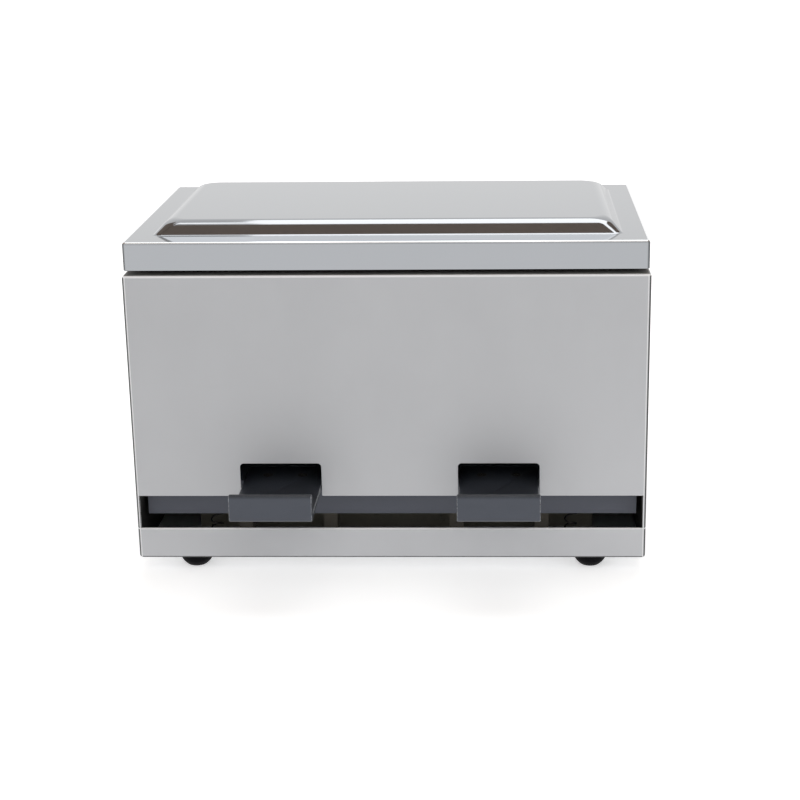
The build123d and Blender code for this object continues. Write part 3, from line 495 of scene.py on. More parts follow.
def ranged(tree, value, low, high, new_low=0.0, new_high=1.0):
    """A value carried from one range to another, and held inside it."""
    return made(tree, "ShaderNodeMapRange", {
        "Value": value, "From Min": low, "From Max": high, "To Min": new_low, "To Max": new_high,
    })


def weighted(tree, first, second, part):
    """Part of the first value and the rest of the second."""
    return maths(tree, "ADD", times(tree, first, part), times(tree, second, 1.0 - part))


def swung(tree, value, amount):
    """A factor that a noise swings to both sides of one."""
    return maths(tree, "ADD", times(tree, maths(tree, "SUBTRACT", value, 0.5), amount), 1.0)


def dimmed(tree, mask, amount):
    """A factor that falls below one by the amount where the mask is full."""
    return maths(tree, "SUBTRACT", 1.0, times(tree, mask, amount))


def sheet_mottle(tree, given):
    """Faint cloudiness of rolled and polished sheet."""
    place = object_place(tree, (1.0, 1.0, 0.55))
    broad = noise(tree, place, given["Scale"], 4.0, 0.55)
    fine = noise(tree, place, times(tree, given["Scale"], 5.0), 2.0)
    cloud = weighted(tree, broad, fine, 0.75)
    return {"Tone": swung(tree, cloud, given["Strength"]), "Cloud": cloud}


def hairlines(tree, given):
    """Hairlines that rolling and polishing leave along the sheet, and a few deeper scratches."""
    lines = noise(tree, object_place(tree, (0.03, 1.0, 1.0)), given["Scale"], 3.0, 0.6)
    coarse = times(tree, given["Scale"], 0.35)
    scratches = noise(tree, object_place(tree, (0.22, 1.0, 1.3)), coarse, 5.0, 0.7)
    mask = ranged(tree, scratches, 0.62, 0.72)
    return {"Height": maths(tree, "ADD", lines, times(tree, mask, 0.35)), "Mask": mask}


def edge_wear(tree, given):
    """Where edges are rubbed: bright on outer edges, broken up by noise."""
    soft = made(tree, "ShaderNodeBevel", {"Radius": given["Radius"]}, samples=6)
    true = add_node(tree, "ShaderNodeNewGeometry").outputs["True Normal"]
    agree = add_node(
        tree, "ShaderNodeVectorMath", {0: soft, 1: true}, operation="DOT_PRODUCT"
    ).outputs["Value"]
    edge = ranged(tree, agree, 0.98, 0.72)
    broken = ranged(tree, noise(tree, object_place(tree), 420.0, 4.0, 0.65), 0.38, 0.62, 0.25)
    return {"Mask": times(tree, edge, broken, given["Amount"])}


def bend_shade_and_highlight(tree, given):
    """The bends of the sheet: upright and bottom ones get painted dark lines in place of dark
    reflections, and the others a painted highlight.
    """
    x, y, z = axes(tree, add_node(tree, "ShaderNodeTexCoord").outputs["Normal"])
    upright = maths(tree, "ABSOLUTE", times(tree, x, y, 2.0))
    level = times(tree, y, z, 2.0)
    turned_away = ranged(tree, maths(tree, "MAXIMUM", upright, level), 0.55, 0.9)
    start = times(tree, ranged(tree, upright, 0.08, 0.25), ranged(tree, upright, 0.35, 0.6, 1.0, 0.0))
    above = ranged(tree, level, -0.3, -0.75)
    # Tone: painted dark lines on the bends; the other output: a painted highlight on them.
    return {
        "Tone": dimmed(tree, turned_away, given["Amount"]),
        "Painted Highlight": times(tree, maths(tree, "MAXIMUM", start, above), given["Highlight"]),
    }


def inside_painted_shade(tree, given):
    """Upright faces that look towards the middle of the box, and flat tops above a height: painted
    shade, darker low down.
    """
    coordinates = add_node(tree, "ShaderNodeTexCoord").outputs
    normal = axes(tree, coordinates["Normal"])
    place = axes(tree, coordinates["Object"])
    sideways, lengthways, lifted = (times(tree, normal[i], place[i]) for i in range(3))
    outward = maths(tree, "ADD", sideways, lengthways)
    upright = maths(tree, "LESS_THAN", outward, times(tree, given["Softness"], -1.0))
    flat = maths(tree, "GREATER_THAN", lifted, given["Top Height"])
    # Painted shade that deepens towards the bottom of the box.
    tone = ranged(tree, place["Z"], given["Dark Below"], given["Light Above"], given["Darkest"])
    return {"Mask": maths(tree, "MAXIMUM", upright, flat), "Tone": tone}


def settled_dust(tree, given):
    """Thin dust that settles on what faces up."""
    upward = axes(tree, add_node(tree, "ShaderNodeNewGeometry").outputs["Normal"])["Z"]
    facing = ranged(tree, upward, 0.3, 0.95)
    specks = ranged(tree, noise(tree, object_place(tree), given["Scale"], 5.0, 0.75), 0.5, 0.72)
    return {"Mask": times(tree, facing, specks, given["Amount"])}


def moulded_grain(tree, given):
    """Fine spark-eroded grain of a moulding, and the broad marks of how the plastic flowed."""
    scale = maths(tree, "DIVIDE", 1.0, given["Grain Size"])
    pebble = noise(tree, object_place(tree), scale, 2.0, 0.6)
    flow = noise(tree, object_place(tree, (1.0, 1.0, 2.5)), 55.0, 3.0, 0.55)
    tone = swung(tree, weighted(tree, pebble, flow, 0.35), given["Variation"])
    return {"Height": pebble, "Tone": tone}


def pale_ends_and_arm_shade(tree, given):
    """The upright edges of a moulding, pale from rubbing and as a painted highlight, and painted shade
    on its upward and side faces at the front.
    """
    x, _, z = axes(tree, add_node(tree, "ShaderNodeTexCoord").outputs["Normal"])
    side = maths(tree, "ABSOLUTE", x)
    along = maths(tree, "SQRT", dimmed(tree, x, x))
    corner = ranged(tree, times(tree, side, along), 0.2, 0.42)
    broken = ranged(tree, noise(tree, object_place(tree), 700.0, 4.0, 0.7), 0.42, 0.6, 0.1)
    shade_facing = ranged(tree, maths(tree, "MAXIMUM", z, side), 0.2, 0.95)
    depth = axes(tree, object_place(tree))["Y"]
    shade_reach = ranged(tree, depth, given["Arm Shade Before"], given["Unshaded Behind"], 1.0, 0.0)
    return {
        # Upright edges: rubbing, and a painted highlight.
        "Mask": times(tree, corner, broken, given["Amount"]),
        # Painted shade on the upward and side faces at the front.
        "Tone": dimmed(tree, times(tree, shade_facing, shade_reach), given["Arm Shade"]),
    }


GROUP_INPUTS = {
    sheet_mottle: {"Scale": 30.0, "Strength": 0.05},
    hairlines: {"Scale": 260.0},
    edge_wear: {"Radius": 0.8 * MM, "Amount": 0.5},
    # Amount of painted dark lines on the bends, and amount of painted highlight on them.
    bend_shade_and_highlight: {"Amount": 0.85, "Highlight": 1.0},
    # Painted shade of the inner faces and the flat tops.
    inside_painted_shade: {
        "Softness": 0.01, "Top Height": 0.15, "Dark Below": 0.035, "Light Above": 0.075,
        "Darkest": 0.15,
    },
    settled_dust: {"Amount": 0.1, "Scale": 900.0},
    moulded_grain: {"Grain Size": 0.35 * MM, "Variation": 0.2},
    # The last three set the painted shade on the front of a moulding.
    pale_ends_and_arm_shade: {"Amount": 0.7, "Arm Shade": 0.0, "Arm Shade Before": -0.085, "Unshaded Behind": -0.055},
}


def shader_group(build):
    """A shared group of float sockets round the nodes that its builder makes."""
    tree = bpy.data.node_groups.new(build.__name__, "ShaderNodeTree")
    for label, default in GROUP_INPUTS[build].items():
        socket = tree.interface.new_socket(label, in_out="INPUT", socket_type="NodeSocketFloat")
        socket.default_value = default
    results = build(tree, add_node(tree, "NodeGroupInput").outputs)
    for label in results:
        tree.interface.new_socket(label, in_out="OUTPUT", socket_type="NodeSocketFloat")
    add_node(tree, "NodeGroupOutput", results)
    return tree


def use_group(tree, build, values=None):
    """Places a shared shader group, building it the first time, and returns its outputs."""
    group = bpy.data.node_groups.get(build.__name__) or shader_group(build)
    return add_node(tree, "ShaderNodeGroup", values, node_tree=group).outputs


# ---- Materials ----
NOISE_SPAN = (0.3, 0.7)
# Painted light near the floor: the height it starts at, and its factor at the floor.
PAINTED_LIGHT_HEIGHT = 150 * MM
FLOOR_PAINTED_LIGHT = 1.10
# Near-white colour of the painted highlight on the bends.
BEND_HIGHLIGHT = (0.95, 0.95, 0.95)
BARE_EDGE = (0.20, 0.19, 0.17)
PALE_DUST = (0.5, 0.5, 0.48)
RUBBER_BLOOM = (0.35, 0.34, 0.32)


def new_material(name, values):
    """A node material and its Principled shader with the given values."""
    material = bpy.data.materials.new(name)
    material.use_nodes = True
    tree = material.node_tree
    tree.nodes.clear()
    shader = add_node(tree, "ShaderNodeBsdfPrincipled", values)
    add_node(tree, "ShaderNodeOutputMaterial", {"Surface": shader.outputs[0]})
    return material, tree, shader


def matt_material(name, tone):
    """A material of one colour that mirrors nothing, for the studio."""
    look = {"Base Color": (*tone, 1.0), "Roughness": 1.0, "Specular IOR Level": 0.0}
    return new_material(name, look)


def scaled_colour(tree, base, factor):
    """A plain colour times a value."""
    return made(tree, "ShaderNodeVectorMath", {0: tuple(base), 1: factor}, operation="MULTIPLY")


def lighter(base, factor):
    return tuple(min(1.0, part * factor) for part in base)


def mixed(tree, mask, first, second):
    """Colour that goes from a linked first colour to a linked or plain second one with the mask."""
    if not isinstance(second, bpy.types.NodeSocket):
        second = (*second, 1.0)
    node = add_node(tree, "ShaderNodeMix", {0: mask, 6: first, 7: second}, data_type="RGBA")
    return node.outputs[2]


def varied(tree, texture, low, high):
    """A value that goes from low to high over NOISE_SPAN, where most of a noise lies."""
    return ranged(tree, texture, *NOISE_SPAN, low, high)


def textured(material, shader, base, blur, height, strength, depth):
    """Links the shader's colour, roughness and bump, and returns the finished material."""
    tree = material.node_tree
    relief = made(tree, "ShaderNodeBump", {
        "Height": height, "Strength": strength, "Distance": depth,
    })
    links = {"Base Color": base, "Roughness": blur, "Normal": relief}
    for label, output in links.items():
        tree.links.new(output, shader.inputs[label])
    return material


def sheet_steel(name, base, roughness, mottle, hairline, shade, bend_highlight=0.0, metal=1.0, inside=None):
    """Stainless sheet: faint clouds, hairlines, rubbed edges, bends with painted dark lines and
    painted highlights, and a duller inside under painted shade.

    Below a set height it is painted lighter, up to a set factor times its colour at the floor: painted
    light against the shade near the floor.
    """
    material, tree, shader = new_material(name, {"Metallic": metal})
    cloud = use_group(tree, sheet_mottle, {"Scale": 28.0, "Strength": mottle})
    lines = use_group(tree, hairlines, {"Scale": 420.0})
    wear = use_group(tree, edge_wear, {"Radius": 1.2 * MM, "Amount": 0.4})
    bend = use_group(tree, bend_shade_and_highlight, {"Amount": shade, "Highlight": bend_highlight})
    inner = use_group(tree, inside_painted_shade)
    # Painted light: lighter towards the floor.
    painted_floor_light = ranged(tree, axes(tree, object_place(tree))["Z"], 0.0, PAINTED_LIGHT_HEIGHT, FLOOR_PAINTED_LIGHT)
    # The bends' painted shade and the painted light near the floor scale the colour here.
    tone = scaled_colour(tree, base, times(tree, cloud["Tone"], bend["Tone"], painted_floor_light))
    rubbed = mixed(tree, wear["Mask"], tone, lighter(base, 1.25))
    # The bends' painted highlight, mixed in as near-white colour.
    outer = mixed(tree, bend["Painted Highlight"], rubbed, BEND_HIGHLIGHT)
    # Inside faces: the duller inner colour under painted shade.
    shaded_inside = scaled_colour(tree, base if inside is None else inside, inner["Tone"])
    blur = varied(tree, cloud["Cloud"], roughness * 0.92, roughness * 1.08)
    blur = maths(tree, "ADD", blur, times(tree, lines["Mask"], 0.04))
    return textured(
        material, shader, mixed(tree, inner["Mask"], outer, shaded_inside), blur, lines["Height"],
        strength=hairline, depth=0.02 * MM,
    )


def clouded_finish(name, look, base, edge, clouds, wear, blur, depth):
    """A thin skin on metal: clouds in its colour, gloss and height, and rubbed edges."""
    material, tree, shader = new_material(name, look)
    cloud = use_group(tree, sheet_mottle, clouds)
    rubbed = use_group(tree, edge_wear, wear)["Mask"]
    tone = mixed(tree, rubbed, scaled_colour(tree, base, cloud["Tone"]), edge)
    return textured(
        material, shader, tone, varied(tree, cloud["Cloud"], *blur), cloud["Cloud"],
        strength=0.2, depth=depth,
    )


def coated_steel(name, base):
    """Thin dark paint over steel, rubbed through at the edges."""
    return clouded_finish(
        name, {"Specular IOR Level": 0.4}, base, BARE_EDGE, {"Scale": 90.0, "Strength": 0.35},
        {"Radius": 0.6 * MM, "Amount": 0.5}, blur=(0.45, 0.6), depth=0.05 * MM,
    )


def plated_finish(name, base, roughness):
    """Zinc plate or ground wire: fine spangle and rubbed edges."""
    return clouded_finish(
        name, {"Metallic": 1.0}, base, lighter(base, 1.3), {"Scale": 160.0, "Strength": 0.18},
        {"Radius": 0.4 * MM, "Amount": 0.6}, blur=(roughness * 0.7, roughness * 1.3),
        depth=0.04 * MM,
    )


def moulding(name, base, grain, roughness, worn, arm_shade=0.0):
    """Fine-grained moulded plastic: paler edges from rubbing and, on the levers, a painted highlight,
    a little dust, and painted shade on its tops and sides at the front.
    """
    material, tree, shader = new_material(name, {"Specular IOR Level": 0.45})
    skin = use_group(tree, moulded_grain, {"Grain Size": grain, "Variation": 0.22})
    wear = use_group(tree, edge_wear, {"Radius": 0.7 * MM, "Amount": 0.45})
    dust = use_group(tree, settled_dust, {"Amount": 0.06})
    ends = use_group(tree, pale_ends_and_arm_shade, {"Arm Shade": arm_shade})
    # The ends' tone here is painted shade.
    tone = scaled_colour(tree, base, times(tree, skin["Tone"], ends["Tone"]))
    # Edges take the worn colour: rubbing, and on the levers a painted highlight.
    tone = mixed(tree, maths(tree, "MAXIMUM", wear["Mask"], ends["Mask"]), tone, worn)
    return textured(
        material, shader, mixed(tree, dust["Mask"], tone, PALE_DUST),
        varied(tree, skin["Height"], roughness * 0.9, roughness * 1.1), skin["Height"],
        strength=0.35, depth=0.06 * MM,
    )


def rubber_finish(name, base):
    """Matt black rubber with a dusty bloom."""
    material, tree, shader = new_material(name, {"Specular IOR Level": 0.05})
    skin = use_group(tree, moulded_grain, {"Grain Size": 0.6 * MM, "Variation": 0.4})
    dust = use_group(tree, settled_dust, {"Amount": 0.01, "Scale": 500.0})
    tone = mixed(tree, dust["Mask"], scaled_colour(tree, base, skin["Tone"]), RUBBER_BLOOM)
    return textured(
        material, shader, tone, varied(tree, skin["Height"], 0.55, 0.72), skin["Height"],
        strength=0.3, depth=0.08 * MM,
    )


# ---- Steel body ----
class DISPENSER_OT_steel_body(Operator):
    """Give the pan and panels their satin finish, and the hopper, rail and lever screws theirs"""

    bl_idname = "dispenser.steel_body"
    bl_label = "Steel body"

    def execute(self, context):
        steel = context.scene.dispenser_steel
        satin = sheet_steel(
            "satin_sheet", steel.sheet_colour, steel.sheet_roughness, steel.mottle, hairline=0.25,
            shade=0.85, bend_highlight=1.0, metal=steel.sheet_metal, inside=steel.inside_colour,
        )
        mill = sheet_steel(
            "mill_sheet", steel.hopper_colour, roughness=0.5, mottle=4 * steel.mottle, hairline=0.4,
            shade=0.2,
        )
        for name in PANEL_NODES:
            finish_node(name, satin)
        for name in HOPPER_NODES:
            finish_node(name, mill)
        finish_node("rest_rail", coated_steel("rail_coating", steel.rail_colour))
        finish_node("lever_screws", coated_steel("screw_coating", steel.black_colour))
        return {"FINISHED"}


# ---- Lid ----
SKIRT_RINGS = 4
EDGE_STEPS = 6
# Steps of the lid's top rounding that carry the painted highlight.
HIGHLIGHT_STEPS = 4
FOOT_STEPS = 6
CREST_STEPS = 10
HOLD = 0.4 * MM


def lid_rings(sizes, height):
    """The lid's outside in rings of (side inset, front inset, corner radius, height), skirt to middle.

    A ring HOLD beside each rounding keeps the flat stretch next to it flat in the light.
    """
    rings = [(sizes.hem, sizes.hem, sizes.corner - sizes.hem, 0.0)]
    for z in (sizes.hem, sizes.hem + HOLD, height - sizes.edge - HOLD):
        rings.append((0.0, 0.0, sizes.corner, z))
    for across, up in arc(sizes.edge, 0, 90, EDGE_STEPS):
        inset = sizes.edge - across
        rings.append((inset, inset, max(sizes.corner - inset, 0.0), height - sizes.edge + up))
    inset = sizes.edge + HOLD
    rings.append((inset, inset, sizes.corner - sizes.edge, height))
    return rings


def raised_rings(sizes, height):
    """Rings of the raised middle, from the flat border over the slope to the flat top."""
    slope = math.atan2(sizes.rise, sizes.run)
    lean = math.degrees(slope)
    foot_reach = sizes.foot_edge * math.tan(slope / 2)
    top_end = sizes.run + sizes.top_edge * math.tan(slope / 2)
    path = [(-foot_reach - HOLD, 0.0)]
    for across, up in arc(sizes.foot_edge, -90, lean - 90, FOOT_STEPS):
        path.append((across - foot_reach, up + sizes.foot_edge))
    for across, up in arc(sizes.top_edge, 90 + lean, 90, CREST_STEPS):
        path.append((top_end + across, sizes.rise - sizes.top_edge + up))
    path.append((top_end + HOLD, sizes.rise))
    rings = []
    for travel, rise in path:
        part_way = min(max(travel / sizes.run, 0.0), 1.0)
        radius = sizes.foot_corner + (sizes.top_corner - sizes.foot_corner) * part_way
        rings.append((sizes.side_border + travel, sizes.front_border + travel, radius, height + rise))
    return rings


def ring_points(low, high, ring, steps=14):
    """Points round a rectangle with round corners, set in from a box."""
    side, front, radius, z = ring
    corners = (
        (high.x - side - radius, high.y - front - radius, 0.0),
        (low.x + side + radius, high.y - front - radius, 90.0),
        (low.x + side + radius, low.y + front + radius, 180.0),
        (high.x - side - radius, low.y + front + radius, 270.0),
    )
    points = []
    for x, y, start in corners:
        for across, deep in arc(radius, start, start + 90.0, steps):
            points.append((x + across, y + deep, low.z + z))
    return points


def pressed_lid(low, high, sizes):
    """One closed mesh of the pressed lid: outside, inside and the edge between them.

    The last steps of the rounding at the top take the second material, a painted highlight; the lid's
    steps constant sets how many.
    """
    height = high.z - low.z - sizes.rise
    raised = raised_rings(sizes, height)
    outside = lid_rings(sizes, height) + raised
    inside = [(side, front, radius, z - sizes.sheet) for side, front, radius, z in reversed(raised)]
    for z in (height - sizes.sheet, 0.0):
        inside.append((sizes.sheet, sizes.sheet, sizes.corner - sizes.sheet, z))
    loops = [ring_points(low, high, ring) for ring in outside + inside]
    edge_end = SKIRT_RINGS + EDGE_STEPS
    # These steps take the painted highlight.
    polished = range(edge_end - HIGHLIGHT_STEPS, edge_end)
    return skinned("pressed_lid", loops, gap=len(outside) - 1, banded=polished)


class DISPENSER_OT_lid(Operator):
    """Press the lid's sheet into its skirt and raised middle, and finish its frame and pads"""

    bl_idname = "dispenser.lid"
    bl_label = "Lid"

    def execute(self, context):
        steel = context.scene.dispenser_steel
        low, high = node_box("lid_shell")
        mesh = pressed_lid(low, high, context.scene.dispenser_lid)
        # The second material is the painted highlight along the lid's top edge.
        for name, base in (("polished_lid", steel.lid_colour), ("lid_edge_painted_highlight", steel.edge_highlight_colour)):
            mesh.materials.append(sheet_steel(
                name, base, steel.lid_roughness, steel.mottle, hairline=0.1, shade=0.6
            ))
        piece = link_object("pressed_lid", smooth(mesh))
        dressed(piece, LID_BODY, "lid_steel", "lid_shell")
        finish_node("lid_rim", sheet_steel(
            "mill_rim", steel.hopper_colour, roughness=0.45, mottle=2 * steel.mottle, hairline=0.3,
            shade=0.2,
        ))
        rubber = context.scene.dispenser_plastic.rubber_colour
        finish_node("lid_bumpers", rubber_finish("bumper_rubber", rubber))
        return {"FINISHED"}


# ---- Levers and shelf ----
CUT_OVER = 0.5 * MM


def lever_outline(low, high, top, sizes):
    """The lever from the side: a flat arm with an upturned lip, as (y, z) points."""
    inner = low.y + sizes.lip_wall
    brow = sizes.lip_wall * sizes.brow
    return rounded((
        (low.y, top - sizes.thickness, sizes.heel_radius),
        (high.y, top - sizes.thickness, 0.0),
        (high.y, top, 0.0),
        (inner, top, sizes.cradle_radius),
        (inner, high.z, brow),
        (low.y, high.z, brow),
    ))


def lever_ribs(low, high, top, sizes):
    """The two stiffening ribs under the arm, outside the box."""
    wall_y = node_box("front_panel")[0].y - sizes.rib_gap
    under = top - sizes.thickness
    start = low.y + sizes.lip_wall
    outline = (
        (start, under + sizes.rib_width / 2), (wall_y, under + sizes.rib_width / 2), (wall_y, under),
        (wall_y - sizes.rib_depth, under - sizes.rib_depth),
        (start + 2 * sizes.rib_depth, under - sizes.rib_depth), (start, under),
    )
    ribs = []
    for edge, inward in ((low.x, 1), (high.x, -1)):
        x = edge + inward * 2 * sizes.rib_width
        ribs.append(prism(outline, x - sizes.rib_width / 2, x + sizes.rib_width / 2))
    return ribs


def screw_holes(middle_x, top, sizes):
    """Cutters for the two countersunk holes of a lever, which stand CUT_OVER above its arm."""
    low, high = node_box("lever_screws")
    head = (high.y - low.y) / 2 + sizes.screw_play
    shank = sizes.screw_radius + sizes.screw_play
    profile = (
        (0.0, -2 * sizes.thickness), (shank, -2 * sizes.thickness), (shank, -sizes.screw_cone),
        (head, 0.0), (head, CUT_OVER), (0.0, CUT_OVER),
    )
    return [
        placed(turned(profile), Matrix.Translation((
            middle_x + side * sizes.screw_spread / 2, (low.y + high.y) / 2, top
        )))
        for side in (-1, 1)
    ]


class DISPENSER_OT_levers(Operator):
    """Mould the two levers with rounded edges, ribs and countersunk holes"""

    bl_idname = "dispenser.levers"
    bl_label = "Levers"

    def execute(self, context):
        sizes = context.scene.dispenser_levers
        plastic = context.scene.dispenser_plastic
        finish = moulding(
            "lever_plastic_grey", plastic.lever_colour, plastic.grain, roughness=0.42,
            worn=plastic.lever_worn, arm_shade=plastic.arm_shade,
        )
        top = node_box("dispensing_shelf")[1].z
        for node in LEVER_NODES:
            low, high = node_box(node)
            arm = prism(lever_outline(low, high, top, sizes), low.x, high.x)
            mesh = combined(arm, lever_ribs(low, high, top, sizes), "UNION")
            mesh = bevelled(mesh, sizes.edge_radius)
            mesh = combined(mesh, screw_holes((low.x + high.x) / 2, top, sizes), "DIFFERENCE")
            mesh.materials.clear()
            mesh.materials.append(finish)
            piece = link_object(f"lever_{node.rsplit('_', 1)[1]}", smooth(mesh))
            dressed(piece, SHELF_BODY, "lever_plastic", node)
        return {"FINISHED"}


class DISPENSER_OT_shelf(Operator):
    """Give the tilting shelf and its bushes their finish"""

    bl_idname = "dispenser.shelf"
    bl_label = "Shelf"

    def execute(self, context):
        plastic = context.scene.dispenser_plastic
        finish_node("dispensing_shelf", moulding(
            "shelf_plastic_grey", plastic.shelf_colour, plastic.grain, roughness=0.45,
            worn=plastic.shelf_worn,
        ))
        finish_node("pivot_bushes", moulding(
            "bush_nylon", plastic.bush_colour, plastic.grain, roughness=0.4, worn=plastic.bush_worn
        ))
        return {"FINISHED"}


# ---- Pivot and springs ----
class DISPENSER_OT_pivot(Operator):
    """Give the posts, rod, spring seats and cushion their finishes"""

    bl_idname = "dispenser.pivot"
    bl_label = "Posts and rod"

    def execute(self, context):
        plastic = context.scene.dispenser_plastic
        finish = moulding(
            "post_plastic_brown", plastic.post_colour, plastic.grain, roughness=0.5,
            worn=plastic.post_worn,
        )
        for name in POST_NODES + ("spring_seats",):
            finish_node(name, finish)
        finish_node("rail_cushion", rubber_finish("cushion_rubber", plastic.rubber_colour))
        wire = context.scene.dispenser_steel.wire_colour
        finish_node("pivot_rod", plated_finish("ground_rod", wire, roughness=0.12))
        return {"FINISHED"}


class DISPENSER_OT_springs(Operator):
    """Wind the two return springs"""

    bl_idname = "dispenser.springs"
    bl_label = "Springs"

    def execute(self, context):
        sizes = context.scene.dispenser_springs
        oiled = context.scene.dispenser_steel.spring_colour
        finish = plated_finish("spring_wire", oiled, roughness=0.4)
        tree = coil_tree()
        for node in SPRING_NODES:
            low, high = node_box(node)
            base = Vector(((low.x + high.x) / 2, (low.y + high.y) / 2, low.z))
            piece = grown(f"coil_{node.rsplit('_', 1)[1]}", tree, {
                "Centre": base, "Radius": (high.x - low.x - sizes.wire) / 2,
                "Wire Radius": sizes.wire / 2, "Height": high.z - low.z,
                "Turns": float(sizes.turns), "Finish": finish,
            })
            dressed(piece, BOX_BODY, "spring_steel", node)
            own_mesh(piece)
        return {"FINISHED"}


# ---- Feet ----
SIDE_STEPS = 8
LOWER_BULGE = 0.05
UPPER_BULGE = 0.035


def foot_profile(sizes, radius, height):
    """Half section of a domed rubber foot with a recess and a hole for its screw.

    A bulge is how far a side stands out at its middle, as a share of its length.
    """
    edge = sizes.edge
    waist = Vector((sizes.waist_radius, sizes.waist_height))
    sole = Vector((sizes.sole_radius, 0.0))
    rim = Vector((radius, height - edge))
    points = [(sizes.bore_radius, sizes.recess_depth), (sizes.recess_radius, sizes.recess_depth)]
    points += [(sizes.recess_radius, edge), (sizes.recess_radius + edge, 0.0), tuple(sole)]
    for start, end, bulge in ((sole, waist, LOWER_BULGE), (waist, rim, UPPER_BULGE)):
        along = end - start
        outward = Vector((along.y, -along.x)) * 4 * bulge
        for i in range(1, SIDE_STEPS + 1):
            t = i / SIDE_STEPS
            points.append(tuple(start + along * t + outward * t * (1 - t)))
    points += [(radius - edge, height), (sizes.bore_radius, height)]
    return points


class DISPENSER_OT_feet(Operator):
    """Mould the four domed rubber feet"""

    bl_idname = "dispenser.feet"
    bl_label = "Feet"

    def execute(self, context):
        finish = rubber_finish("foot_rubber", context.scene.dispenser_plastic.rubber_colour)
        first, right, rear = (sum(node_box(name), Vector()) / 2 for name in FOOT_NODES[:3])
        low, high = node_box(FOOT_NODES[0])
        profile = foot_profile(context.scene.dispenser_feet, (high.x - low.x) / 2, high.z - low.z)
        mesh = smooth(turned(profile))
        piece = grown("rubber_feet", rows_tree("feet_in_rows"), {
            "Start": Vector((first.x, first.y, low.z)), "Count": 2, "Step": right - first,
            "Groups": 2, "Group Step": rear - first, "Finish": finish,
        }, mesh)
        dressed(piece, BOX_BODY, "rubber", *FOOT_NODES)
        return {"FINISHED"}


# ---- Hinge and plated parts ----
DOME_STEPS = 10


def rivet_profile(sizes, head_radius, depth):
    """Half section of a set rivet lying along +Z, with the top of its dome at zero."""
    grip = -depth + sizes.tail_height
    base = -sizes.rivet_head
    points = [
        (0.0, -depth), (sizes.rivet_tail, -depth), (sizes.rivet_tail, grip),
        (sizes.rivet_shank, grip), (sizes.rivet_shank, base), (head_radius, base),
    ]
    for across, up in arc(1.0, 0, 90, DOME_STEPS)[1:]:
        points.append((head_radius * across, base + sizes.rivet_head * up))
    return points


class DISPENSER_OT_hinge(Operator):
    """Set the rivets of the hinge and plate its leaves, the screws, washers and clips"""

    bl_idname = "dispenser.hinge"
    bl_label = "Hinge and fasteners"

    def execute(self, context):
        steel = context.scene.dispenser_steel
        sizes = context.scene.dispenser_fasteners
        zinc = plated_finish("zinc_plate", steel.zinc_colour, roughness=0.28)
        for name in PLATED_NODES:
            finish_node(name, zinc)
        finish_node("hinge_pin", plated_finish("pin_steel", steel.wire_colour, roughness=0.15))
        tree = rows_tree("rivets_in_a_row")
        for node, body in (("hinge_rivets_body", BOX_BODY), ("hinge_rivets_lid", LID_BODY)):
            low, high = node_box(node)
            head = (high.z - low.z) / 2
            step = (high.x - low.x - 2 * head) / (sizes.rivets - 1)
            turn = Matrix.Rotation(math.radians(-90), 4, "X")
            mesh = smooth(placed(turned(rivet_profile(sizes, head, high.y - low.y)), turn))
            piece = grown(node.replace("hinge_", "set_"), tree, {
                "Start": Vector((low.x + head, high.y, low.z + head)),
                "Count": sizes.rivets, "Step": Vector((step, 0.0, 0.0)), "Groups": 1,
                "Group Step": Vector((0.0, 0.0, 0.0)), "Finish": zinc,
            }, mesh)
            dressed(piece, body, "zinc_steel", node)
        return {"FINISHED"}


# ---- Studio ----
WHITE = (1.0, 1.0, 1.0, 1.0)
CAMERA_PLACE = (0.0634, -1.0196, 0.3867)
CAMERA_TURN = math.radians(1.731)
CAMERA_DOWN = math.radians(17.222)
CAMERA_ROLL = math.radians(-0.617)
CAMERA_SHIFT = (-0.0625, 0.025)
CAMERA_REACH = (0.01, 100.0)
FLOOR_SIZE = (60.0, 60.0)
FLOOR_FADE = (-0.15, 0.3)
LEVEL = (0.0, 0.0, 0.0)
LAMP_TURN = (-21.0, 0.0, 0.0)
SOFTBOX = {"place": (0.16, 0.485, 1.335), "size": (0.86, 1.04)}
STRIP = {"place": (-0.36, 0.27, 1.42), "size": (0.18, 0.20)}
FRONT_FLAG = {"place": (0.0, -0.37, 1.34), "turn": (18.0, 0.0, 0.0), "size": (1.3, 0.6)}
LEFT_FLAG = {"place": (-0.56, 0.20, 1.36), "turn": LEVEL, "size": (0.20, 0.58)}
SIDE_FLAG_PLACE = (0.95, 0.30, 1.10)
SIDE_FLAG_LEAN = 42.0
SIDE_FLAG_SIZE = (0.85, 1.8)


def area_lamp(name, watts, place, size):
    """A soft lamp outside the camera's view, leaning over the lid."""
    lamp = bpy.data.lights.new(name, "AREA")
    lamp.shape = "RECTANGLE"
    lamp.size, lamp.size_y = size
    lamp.energy = watts
    holder = link_object(name, lamp)
    holder.location = place
    holder.rotation_euler = [math.radians(angle) for angle in LAMP_TURN]


def flat_sheet(name, place, turn, size):
    """A flat rectangle of the given size, set in place."""
    bm = bmesh.new()
    bmesh.ops.create_grid(bm, x_segments=1, y_segments=1, size=0.5)
    mesh = bpy.data.meshes.new(name)
    bm.to_mesh(mesh)
    bm.free()
    turned_about = Euler([math.radians(angle) for angle in turn]).to_matrix().to_4x4()
    mesh.transform(Matrix.Translation(place) @ turned_about @ Matrix.Diagonal((*size, 1.0, 1.0)))
    return mesh


def card(name, tone, place, turn, size):
    """A matt card outside the camera's view that shades the box and shows in the steel."""
    mesh = flat_sheet(name, place, turn, size)
    mesh.materials.append(matt_material(name, tone)[0])
    piece = link_object(name, mesh)
    piece.visible_camera = False


def white_light(tree, strength):
    """An even white emission."""
    return made(tree, "ShaderNodeEmission", {"Color": WHITE, "Strength": strength})


